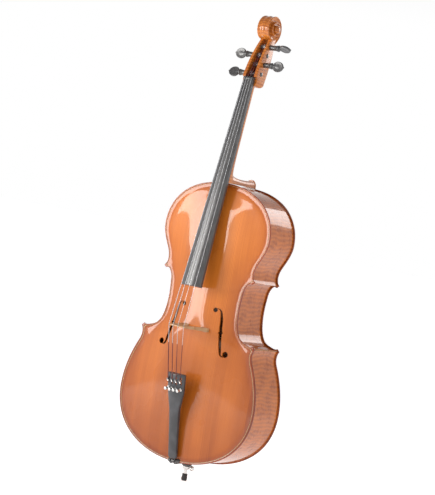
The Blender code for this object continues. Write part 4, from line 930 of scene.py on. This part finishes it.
# A peg's turned collar and its end button, as radius and place from the middle of the thumb piece.
PEG_COLLAR = (
    (0.01, -9), (4.3, -9.5), (4.4, -13), (5.2, -15.4), (7.6, -16.2), (8.6, -17.2), (8.8, -18.4),
    (8.5, -19.6), (7, -20.5), (6.6, -21.2), (7.7, -22.2), (7.9, -23.2), (7.2, -24.4),
)
PEG_BUTTON = ((0.01, 19.8), (1.6, 19.4), (2.5, 18.2), (2.6, 16.8), (1.9, 15.4), (2.2, 13))
# The thumb piece from its middle out: share of its reach and half thickness.
THUMB_SECTION = ((0, 3.4), (0.3, 2.7), (0.55, 2.5), (0.78, 3.1), (0.92, 3.2), (0.985, 2.2), (1, 0.9))
THUMB_REACH = 15.2


def thumb_shape():
    """The peg's thumb piece: a heart-like leaf with dished faces, a rounded rim and a thicker root."""
    rows = []
    for share, thick in [*THUMB_SECTION, *[(s, -t) for s, t in reversed(THUMB_SECTION)]]:
        ring = []
        for k in range(48):
            angle = tau * k / 48
            reach = share * (THUMB_REACH - 0.9 * cos(2 * angle) + 1.3 * sin(angle) ** 3)
            root = 1 + 0.35 * share * exp(-((degrees(angle) - 270) / 26) ** 2)
            ring.append((reach * cos(angle), thick * root, PEG_HEAD_X + reach * sin(angle)))
        rows.append(ring)
    return grid(rows)


def peg_shape(wall):
    """A whole peg. Its shaft tapers from one wall of the peg box, through the other, and just past it."""
    far = -wall - 1.5
    shaft = [(PEG_RADIUS + 0.1, wall + 12), (PEG_RADIUS, wall + 2), (PEG_RADIUS - 0.9, far + 1.4)]
    shaft += [(PEG_RADIUS - 1.4, far + 0.4), (PEG_RADIUS - 2.8, far - 0.2), (0.01, far - 0.4)]
    collar, button = ([(r, PEG_HEAD_X + z) for r, z in part] for part in (PEG_COLLAR, PEG_BUTTON))
    return merged(lathe(collar + shaft), thumb_shape(), lathe(button, 24))


def winding_path(radius):
    """The string's turns round its peg."""
    path = []
    for step in range(COIL_TURNS * 24 + 1):
        angle = tau * step / 24
        coil = PEG_RADIUS + radius + COIL_GAP
        along = (step / 24 - COIL_TURNS / 2) * radius * 2.15
        path.append((coil * cos(angle), coil * sin(angle), along))
    return path


def make_pegs():
    for name in STRINGS:
        v, u, radius = peg_v(name), PEG_U[name], STRING_RADIUS[name]
        turn = Matrix.Rotation(radians(90 * PEG_SIDE[name]), 4, "Y")
        turn = turn @ Matrix.Rotation(radians(PEG_TURN[name]), 4, "Z")
        spot = NECK @ Matrix.Translation((0, v, u)) @ turn
        shape = peg_shape(peg_box_half(u))
        piece(f"peg_{name}_shown", shape, spot, "ebony", [f"peg_{name}"], f"{name}_peg", 40)
        spot = NECK @ Matrix.Translation((COIL_X[name], v, u)) @ QUARTER_Y
        shape, coil = tube(winding_path(radius), radius, 10), [f"string_coil_{name}"]
        piece(f"winding_{name}", shape, spot, f"string_{name}", coil, f"{name}_peg", 60)


# ---- strings

BALL = ((0.01, 2.1), (1.4, 1.9), (2.1, 1.2), (2.1, -1.2), (1.4, -1.9), (0.01, -2.1))


def string_stations(name):
    """A string's places: its peg, four over the nut, the bridge's crest, the tuner's fork and its end."""
    radius, nut_x, bridge_x = STRING_RADIUS[name], STRING_NUT_X[name], STRING_BRIDGE_X[name]
    height = sagitta(BOARD_RADIUS, nut_x) - STRING_LIFT - radius
    coil = in_neck(COIL_X[name], peg_v(name) - PEG_RADIUS - radius - COIL_GAP, PEG_U[name])
    over_nut = [in_neck(nut_x * 0.97, height + 3.6, 8.6)]
    over_nut += [in_neck(nut_x, height + drop, u) for drop, u in ((0.5, 4.2), (0.0, 2.0), (0.0, 0.2))]
    top_y = CROWN_Y - BRIDGE_HEIGHT - BRIDGE_LIFT - radius * 0.6 + sagitta(BRIDGE_RADIUS, bridge_x)
    crest = BODY @ Vector((bridge_x, top_y, STOP_Z))
    fork, end = (in_tail(TUNER_X[name], v, LEVER_P + p) for v, p in ((-0.6, 1.5), (0.2, -3.6)))
    return coil, over_nut, crest, fork, end


def make_strings():
    """Each string, the silk wrapped round both its ends, and the ball that its lever holds."""
    for name in STRINGS:
        radius, slot = STRING_RADIUS[name], "steel_wound"
        coil, over_nut, crest, fork, end = string_stations(name)
        straight = [over_nut[-1].lerp(crest, k / 6) for k in range(1, 6)]
        after = [crest.lerp(fork, k / 4) for k in range(1, 4)]
        shape = tube([coil, *over_nut, *straight, crest, *after, fork, end], radius)
        piece(f"string_{name}_shown", shape, FLOOR, f"string_{name}", [f"string_{name}"], angle=60)
        lower = tube([crest.lerp(fork, k / 6) for k in range(2, 7)], radius + 0.28, 14)
        upper = tube([coil.lerp(over_nut[0], k / 4) for k in range(5)], radius + 0.25, 14)
        piece(f"silk_{name}", merged(lower, upper), FLOOR, "silk", angle=60)
        spot = Matrix.Translation(end + Vector((0, 0, -1.0))) @ QUARTER_Y
        piece(f"ball_{name}", lathe(BALL, 24), spot, "steel", body=f"{name}_tuner_lever")


# ---- bridge

# The right half of the bridge, as (x, height over the crown): side, kidney, leg and the arch between legs.
BRIDGE_SIDE = ((27, 80.5), (27.8, 74), (29.2, 67), (31.6, 61), (34, 57.6))
BRIDGE_KIDNEY = (
    (30.5, 56.8), (26.5, 60), (21, 62.6), (16.2, 60.5), (14, 55.5), (15.5, 50), (20.5, 47), (25.5, 48.6),
    (30, 52.6),
)
BRIDGE_LEG = (
    (34.4, 52), (34.6, 47.5), (31.6, 44), (30, 39.5), (31, 32), (33.8, 22), (37.2, 13.5), (40.6, 8),
    (44.4, 5),
)
BRIDGE_ARCH = (
    (19.6, 3), (22.6, 5.5), (25.2, 9.5), (25.8, 15), (24.4, 23), (20.4, 30), (14.2, 34.8), (7, 37.4),
    (0, 38.2),
)
BRIDGE_HEART = ((0, 61.5), (3.2, 66), (7.4, 66.6), (9.2, 62.4), (7, 56.5), (2.8, 51.5), (2.2, 45.8))
CREST_XS = (0.0, 4.0, 8.0, 12.0, 16.0, 20.0, 23.4, 25.6)
FOOT_XS = (45.2, 42, 38, 34, 30, 26, 22, 19.4)
BRIDGE_HALF_FOOT, BRIDGE_THINNING = 5.5, 0.72
ARCH_HALF = 128.0  # from the crown across to the end of the arching, at the bridge


def bridge_fall(x):
    """How far the top has fallen from its crown, across it at the bridge."""
    return TOP_ARCH * (0.5 - 0.5 * cos(pi * (abs(x) / ARCH_HALF) ** 1.25))


def make_bridge():
    crest = [(x, BRIDGE_HEIGHT - sagitta(BRIDGE_RADIUS, x)) for x in CREST_XS]
    sides = flowing(BRIDGE_SIDE) + flowing(BRIDGE_KIDNEY) + flowing(BRIDGE_LEG)
    right = crest + sides + [(x, 0.2 - bridge_fall(x)) for x in FOOT_XS] + flowing(BRIDGE_ARCH)
    outline = right + [(-x, z) for x, z in reversed(right[1:-1])]
    heart = flowing(BRIDGE_HEART)
    heart += [(-x, z) for x, z in reversed(heart[1:])]

    def stood(loop, half):
        return grid([[(x, -z, y) for x, z in loop] for y in (-half, half)])

    spot = BODY @ Matrix.Translation((0, CROWN_Y - BRIDGE_LIFT + 0.4, STOP_Z))
    mesh = cut_shape(stood(outline, BRIDGE_HALF_FOOT), [stood(heart, 8)], spot, "bridge_shown")
    line = (FOOT_DROP + STOP_Z) * MM
    for vertex in mesh.vertices:
        up = (CROWN_Y - BRIDGE_LIFT) * MM - vertex.co.y
        share = max(0.0, min(1.0, up / (BRIDGE_HEIGHT * MM)))
        vertex.co.z = line + (vertex.co.z - line) * (1.0 - BRIDGE_THINNING * share)
    piece("bridge_shown", mesh, spot, "bridge_maple", ["bridge"], bevel=0.35)


# ---- tailpiece and tuners

TAIL_HALF, TAIL_SPREAD = 13.0, 6.0
HEAD_LOW, HEAD_HIGH, HEAD_SPREAD = 130.0, 190.0, 8.6
TAIL_SKIRT, SKIRT_SPREAD, TAIL_WALL, TAIL_ROOF = 9.0, 7.5, 3.4, 4.2
TAIL_RIDGE = 226.5  # up the tailpiece to the ridge across its head
# Near its ends the tailpiece draws in from its sides and from its face.
TAIL_ENDS = {
    0.0: (4.4, 2.6),
    1.2: (2.4, 1.3),
    4.0: (0.6, 0.3),
    230.0: (0.2, 0.1),
    232.6: (1.0, 0.6),
    TAIL_LENGTH: (2.6, 1.8),
}
SLOT_LOW, SLOT_HIGH, SLOT_RADIUS, SCREW_HOLE = 207, 224, 2.2, 2.4
TUNER_KNOB = (
    (0.01, 0.3), (2.6, 0.3), (3.6, 0), (4.3, -0.7), (4.45, -1), (4.45, -6.4), (4.2, -7),
    (3.2, -7.6), (2.2, -8.2), (1.9, -8.6), (1.9, -23), (1.2, -23.8), (0.01, -23.8),
)
TUNER_TOP, THREAD_RADIUS, THREAD_PITCH, THREAD_TURNS = -12.5, 1.9, 0.95, 12
TUNER_FERRULE = ((2, 0), (4.3, 0), (4.5, 0.3), (4.5, 0.9), (4.2, 1.2), (2, 1.2))


def tail_half(p):
    """Half width at a place p up the tailpiece, which flares out to its head."""
    share = max(0.0, min(1.0, (p - HEAD_LOW) / (HEAD_HIGH - HEAD_LOW)))
    return TAIL_HALF + TAIL_SPREAD * (p / TAIL_LENGTH) ** 2 + HEAD_SPREAD * share**2 * (3 - 2 * share)


def tail_section(p):
    inset, drop = TAIL_ENDS.get(p, (0.0, 0.0))
    half = tail_half(p) - inset
    rise = 1.6 * exp(-((p - TAIL_RIDGE) / 2.2) ** 2)
    face = []
    for x in across(half, 32):
        face.append((x, sagitta(TAIL_RADIUS, x) + drop - rise + 1.4 * (abs(x) / half) ** 14, p))
    low = TAIL_SKIRT + SKIRT_SPREAD * (p / TAIL_LENGTH) ** 1.2 - drop
    return [*face, (-half, low, p), (-half + 3, low, p), (half - 3, low, p), (half, low, p)]


def tail_hollow():
    rows = []
    for p in (12, 60, 110, *[130 + 6 * i for i in range(11)], 212, 228):
        half = tail_half(p) - TAIL_WALL
        roof = [(x, sagitta(TAIL_RADIUS, x) + TAIL_ROOF, p) for x in across(half, 16)]
        rows.append([*roof, (-half, 40, p), (half, 40, p)])
    return grid(rows)


def make_tailpiece():
    """The tailpiece, hollow behind, with a slot for each lever and a hole for each screw."""
    stations = (0.0, 1.2, 4.0, *[10 + 10 * i for i in range(21)], 222.0, 230.0, 232.6, TAIL_LENGTH)
    cutters = [tail_hollow()]
    for x in TUNER_X.values():
        slot = [(a, b + (SLOT_HIGH if b >= 0 else SLOT_LOW)) for a, b in circle(SLOT_RADIUS, 24, x)]
        cutters.append(prism(slot, -20, 13))
        cutters.append(prism(circle(SCREW_HOLE, 24, x, SCREW_P), -20, 13))
    mesh = cut_shape(grid([tail_section(p) for p in stations]), cutters, TAIL, "tail")
    piece("tail", mesh, TAIL, "black_plastic", ["tailpiece"], angle=38)


def tuner_screw_shape():
    thread = []
    for step in range(THREAD_TURNS * 14 + 1):
        angle = tau * step / 14
        x, y = THREAD_RADIUS * cos(angle), THREAD_RADIUS * sin(angle)
        thread.append((x, y, -10.5 - THREAD_PITCH * step / 14))
    return merged(lathe(TUNER_KNOB, 48, (-6.5, -0.9), 0.35), tube(thread, 0.22, 5))


def make_tuners():
    for name, x in TUNER_X.items():
        spot = TAIL @ Matrix.Translation((x, TUNER_TOP, SCREW_P)) @ QUARTER_X
        stands_for, body = [f"tuner_screw_{name}"], f"{name}_tuner_screw"
        piece(f"tuner_screw_{name}_shown", tuner_screw_shape(), spot, "steel", stands_for, body, 30)
        spot = TAIL @ Matrix.Translation((x, sagitta(TAIL_RADIUS, x) - 0.1, SCREW_P)) @ QUARTER_X
        piece(f"tuner_ferrule_{name}", lathe(TUNER_FERRULE, 32), spot, "steel", angle=30)


# ---- end pin

COLLAR = (
    (9, 30), (11.4, 30), (11.9, 3.4), (10.6, 2.6), (10.6, -2.8), (11.2, -3.4), (11.2, -5),
    (12.9, -5.6), (14, -6.4), (14.3, -7.3), (14.3, -8.6), (13.7, -9.7), (12.2, -10.6), (10.6, -11.4),
    (10, -12.4), (9.9, -18.4), (9.4, -19.4), (8.6, -20), (5.5, -20),
)
FERRULE = (
    (9.9, -12.6), (10.3, -12.9), (10.4, -13.4), (10.4, -19.2), (10.1, -19.9), (9, -20.4), (5.6, -20.5),
    (5.6, -19.9), (8.6, -19.4), (9.7, -12.9),
)
KNOB = (
    (0.01, 13.4), (3.6, 13.4), (5.4, 13), (6.4, 12.2), (6.6, 11.6), (6.6, 6), (6.2, 5), (4.4, 4.2),
    (2.5, 3.8), (2.3, -4.4), (0.01, -4.6),
)
FOOT = (
    (5.3, 19.4), (6.4, 19.6), (7.1, 19), (7.4, 17.8), (6.9, 16.8), (6.9, 15.4), (7.4, 14.8),
    (7.4, 13.6), (6.9, 12.8), (7.1, 11.4), (7.7, 9.2), (7.9, 7.6), (7.8, 4.4), (7.3, 2), (6.5, 0.5),
    (5.6, 0), (0.01, 0),
)
# The rod's lower end over the floor, its length and its radius.
ROD_LOW, ROD_LENGTH, ROD_RADIUS = 6.0, 455.0, 5.0
THUMBSCREW_PLACE = (10.5, 0, -15.2)


def make_end_pin():
    piece("pin_collar", lathe(COLLAR, 64), BODY, "ebony", ["end_pin_collar"], angle=35)
    piece("pin_ferrule", lathe(FERRULE, 64), BODY, "steel", angle=30)
    top = ROD_LOW + ROD_LENGTH
    rod = [(0.01, top), (3.4, top), (4.6, top - 1.4), (ROD_RADIUS, top - 3)]
    rod += [(ROD_RADIUS, ROD_LOW + 9), (3.2, ROD_LOW + 7), (0.01, ROD_LOW + 1)]
    piece("pin_rod", lathe(rod, 40), FLOOR, "steel", ["end_pin_rod"], "end_pin", 35)
    piece("pin_foot", lathe(FOOT, 56), FLOOR, "rubber", ["end_pin_rubber_foot"], "end_pin", 35)
    spot = BODY @ Matrix.Translation(THUMBSCREW_PLACE) @ QUARTER_Y
    knob = lathe(KNOB, 56, (5.9, 11.7), 0.45)
    piece("pin_thumbscrew", knob, spot, "steel", ["end_pin_thumbscrew"], "thumbscrew", 30)


# ---- tail cord and saddle

CORD_RADIUS, CORD_X, CORD_V = 1.5, 7.0, 6.2
CORD_TOP = TOP_EDGE_Y - SADDLE_RISE - CORD_RADIUS - 0.2
# From the saddle's crest round the end pin's collar, on the treble side.
CORD_REST = (
    (6.9, CORD_TOP, 2.6), (6.9, CORD_TOP + 1.7, -1.5), (7, CORD_TOP + 6.2, -3.7), (7.6, -62, -3.5),
    (9, -40, -1.7), (11.4, -16, -1.2), (12.4, -6, -1.2), (12.4, 3, -1.2), (8.8, 9.6, -1.2), (0, 13, -1.2),
)


def make_tail_cord():
    half = [in_tail(CORD_X, CORD_V, 22), in_tail(CORD_X, CORD_V, -1), *[BODY @ Vector(p) for p in CORD_REST]]
    other = [Vector((-p.x, p.y, p.z)) for p in reversed(half[:-1])]
    shape = tube(smooth_path(half + other, 6), CORD_RADIUS, 14)
    piece("cord", shape, FLOOR, "nylon", ["tail_cord"], angle=60)


def make_saddle():
    """A low ebony block with a rounded crest that falls away at both ends."""
    bottom, top = -RIB_HEIGHT / 2, TOP_EDGE_Y - SADDLE_RISE
    crest = flowing(((top + 5, -1.6), (top + 1.4, -0.7), (top, 2.2), (top + 0.9, 5.4), (top + 4.5, 8.0)), 4)
    section = [(bottom, -1.0), *crest, (bottom, SADDLE_DEPTH)]
    rows = []
    for x in reversed(across(SADDLE_HALF, 24)):
        rise = 1.0 - 0.45 * abs(x / SADDLE_HALF) ** 5
        rows.append([(x, bottom + (y - bottom) * rise, z) for y, z in section])
    piece("saddle_shown", grid(rows), BODY, "ebony", ["saddle"], bevel=0.4)


# ---- CAD nodes that stay

def repaint(names, look):
    for name in names:
        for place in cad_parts[name].material_slots:
            place.material = looks[look]


def eased_copy(name, look, body, bevel):
    """A new piece of the CAD node's shape with its edges eased."""
    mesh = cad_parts[name].data.copy()
    mesh.materials.clear()
    piece(f"{name}_shown", mesh, FLOOR, look, [name], body, 35, bevel)


def repaint_all():
    blocks = ("lining", "corner_block", "neck_block", "end_block")
    repaint([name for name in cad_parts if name.startswith(blocks)], "willow")
    repaint(["bass_bar", "sound_post"], "bare_spruce")
    repaint(["tuner_axle"], "steel")
    for name in STRINGS:
        eased_copy(f"tuner_lever_{name}", "steel", f"{name}_tuner_lever", 0.3)


# ---- studio, in metres

FLOOR_HALF = 60
# Each light: place, what it points at, size, watts and colour.
LIGHTS = {
    "key": ((-1.30, -1.83, 0.86), (0, 0, 0.75), (1.15, 1.05), 38, (1.0, 0.98, 0.95)),
    "fill": ((2.6, -0.7, 1.1), (0, 0, 0.6), (0.5, 1.6), 9, (0.97, 0.98, 1.0)),
    "back": ((0.6, 2.4, 2.0), (0, 0, 0.8), (1.2, 1.2), 18, (1, 1, 1)),
}


def make_lights():
    for name, (place, target, size, watts, colour) in LIGHTS.items():
        lamp = bpy.data.lights.new(name, "AREA")
        lamp.shape = "RECTANGLE"
        lamp.size, lamp.size_y = size
        lamp.energy = watts
        lamp.color = colour
        obj = add_object(name, lamp)
        obj.location = place
        obj.rotation_euler = (Vector(place) - Vector(target)).to_track_quat("Z", "Y").to_euler()


def make_world():
    """A white room: bright round the horizon and dimmer overhead, so that gloss has something to show."""
    world = bpy.data.worlds.new("studio")
    bpy.context.scene.world = world
    world.use_nodes = True
    tree = world.node_tree
    place = node(tree, "TexCoord")
    height = node(tree, "SeparateXYZ", Vector=place.outputs["Generated"])
    white, grey, ceiling = (1.0, 1.0, 1.0), (0.42, 0.43, 0.45), (0.36, 0.37, 0.39)
    sky = ramp(tree, height.outputs["Z"], (0.0, white), (0.12, white), (0.5, grey), (1.0, ceiling))
    fill(tree, tree.nodes["Background"], Color=sky)


def make_floor():
    far = FLOOR_HALF
    mesh = bpy.data.meshes.new("floor")
    mesh.from_pydata([(-far, -far, 0), (far, -far, 0), (far, far, 0), (-far, far, 0)], [], [(0, 1, 2, 3)])
    floor = add_object("floor", mesh)
    made, tree, shader = new_material("pale_floor")
    fill(tree, shader, Base_Color=(0.88, 0.88, 0.88), Roughness=0.8)
    fill(tree, shader, Emission_Color=(1, 1, 1), Emission_Strength=0.6)
    mesh.materials.append(made)


AZIMUTH, ELEVATION, ROLL = 33.6, 0.8, 10.5
DISTANCE = 5.0
LENS = 136.0
AIM = sum((Vector(corner) for corner in cad_box), Vector()) / 2


def make_camera():
    """The camera looks at the front from the treble side, and is rolled as the cello leans."""
    a, e, r = (radians(v) for v in (AZIMUTH, ELEVATION, ROLL))
    back = Vector((sin(a) * cos(e), -cos(a) * cos(e), sin(e)))
    right = Vector((cos(a), sin(a), 0))
    up = back.cross(right)
    side = right * cos(r) + up * sin(r)
    top = up * cos(r) - right * sin(r)
    data = bpy.data.cameras.new("camera")
    data.lens = LENS
    data.clip_end = 100
    cam = add_object("camera", data)
    turn = Matrix((side, top, back)).transposed().to_4x4()
    cam.matrix_world = Matrix.Translation(AIM + back * DISTANCE) @ turn
    bpy.context.scene.camera = cam


# ---- build

BRIDGE_DARK, BRIDGE_LIGHT = (0.36, 0.185, 0.075), (0.56, 0.34, 0.17)
looks = {
    "spruce": spruce_varnished(),
    "maple": maple_varnished("maple_varnish"),
    "rib_maple": maple_varnished("rib_varnish", along=True, dark=(0.34, 0.080, 0.011)),
    "neck_maple": maple_varnished("neck_varnish", False, (0.36, 0.095, 0.013), (0.64, 0.215, 0.034), 8.0),
    "purfling_dark": bare_wood("purfling_dark", (0.02, 0.012, 0.01), (0.05, 0.03, 0.02)),
    "purfling_light": bare_wood("purfling_light", (0.55, 0.30, 0.10), (0.72, 0.44, 0.18)),
    "ebony": ebony(),
    "willow": bare_wood("willow_bare", (0.50, 0.36, 0.20), (0.70, 0.54, 0.34)),
    "bare_spruce": bare_wood("spruce_bare", (0.55, 0.40, 0.21), (0.78, 0.62, 0.38)),
    "bridge_maple": bare_wood("bridge_wood", BRIDGE_DARK, BRIDGE_LIGHT, (140, 1300, 700), (0.34, 0.5)),
    "black_plastic": moulded("tail_plastic", (0.040, 0.040, 0.043), 0.24, 0.42, 1400.0, 0.05),
    "rubber": moulded("foot_rubber", (0.018, 0.018, 0.018), 0.6, 0.85, 700.0, 0.3),
    "nylon": moulded("cord_nylon", (0.03, 0.03, 0.03), 0.35, 0.55, 1200.0, 0.2),
    "silk": moulded("string_silk", (0.09, 0.012, 0.014), 0.55, 0.8, 1500.0, 0.4),
    "steel": metal("nickelled_steel", (0.72, 0.71, 0.69), 0.14, 0.3),
    "string_c": wound_string("string_c_steel", (0.50, 0.50, 0.52), 0.55),
    "string_g": wound_string("string_g_steel", (0.55, 0.55, 0.57), 0.5),
    "string_d": wound_string("string_d_steel", (0.62, 0.62, 0.63), 0.4),
    "string_a": wound_string("string_a_steel", (0.68, 0.68, 0.69), 0.35),
}
repaint_all()
make_top()
make_back()
make_ribs()
make_neck()
make_board()
make_nut()
make_pegs()
make_strings()
make_bridge()
make_tailpiece()
make_tuners()
make_end_pin()
make_tail_cord()
make_saddle()
bpy.context.scene.view_settings.view_transform = "Standard"
make_world()
make_floor()
make_lights()
make_camera()
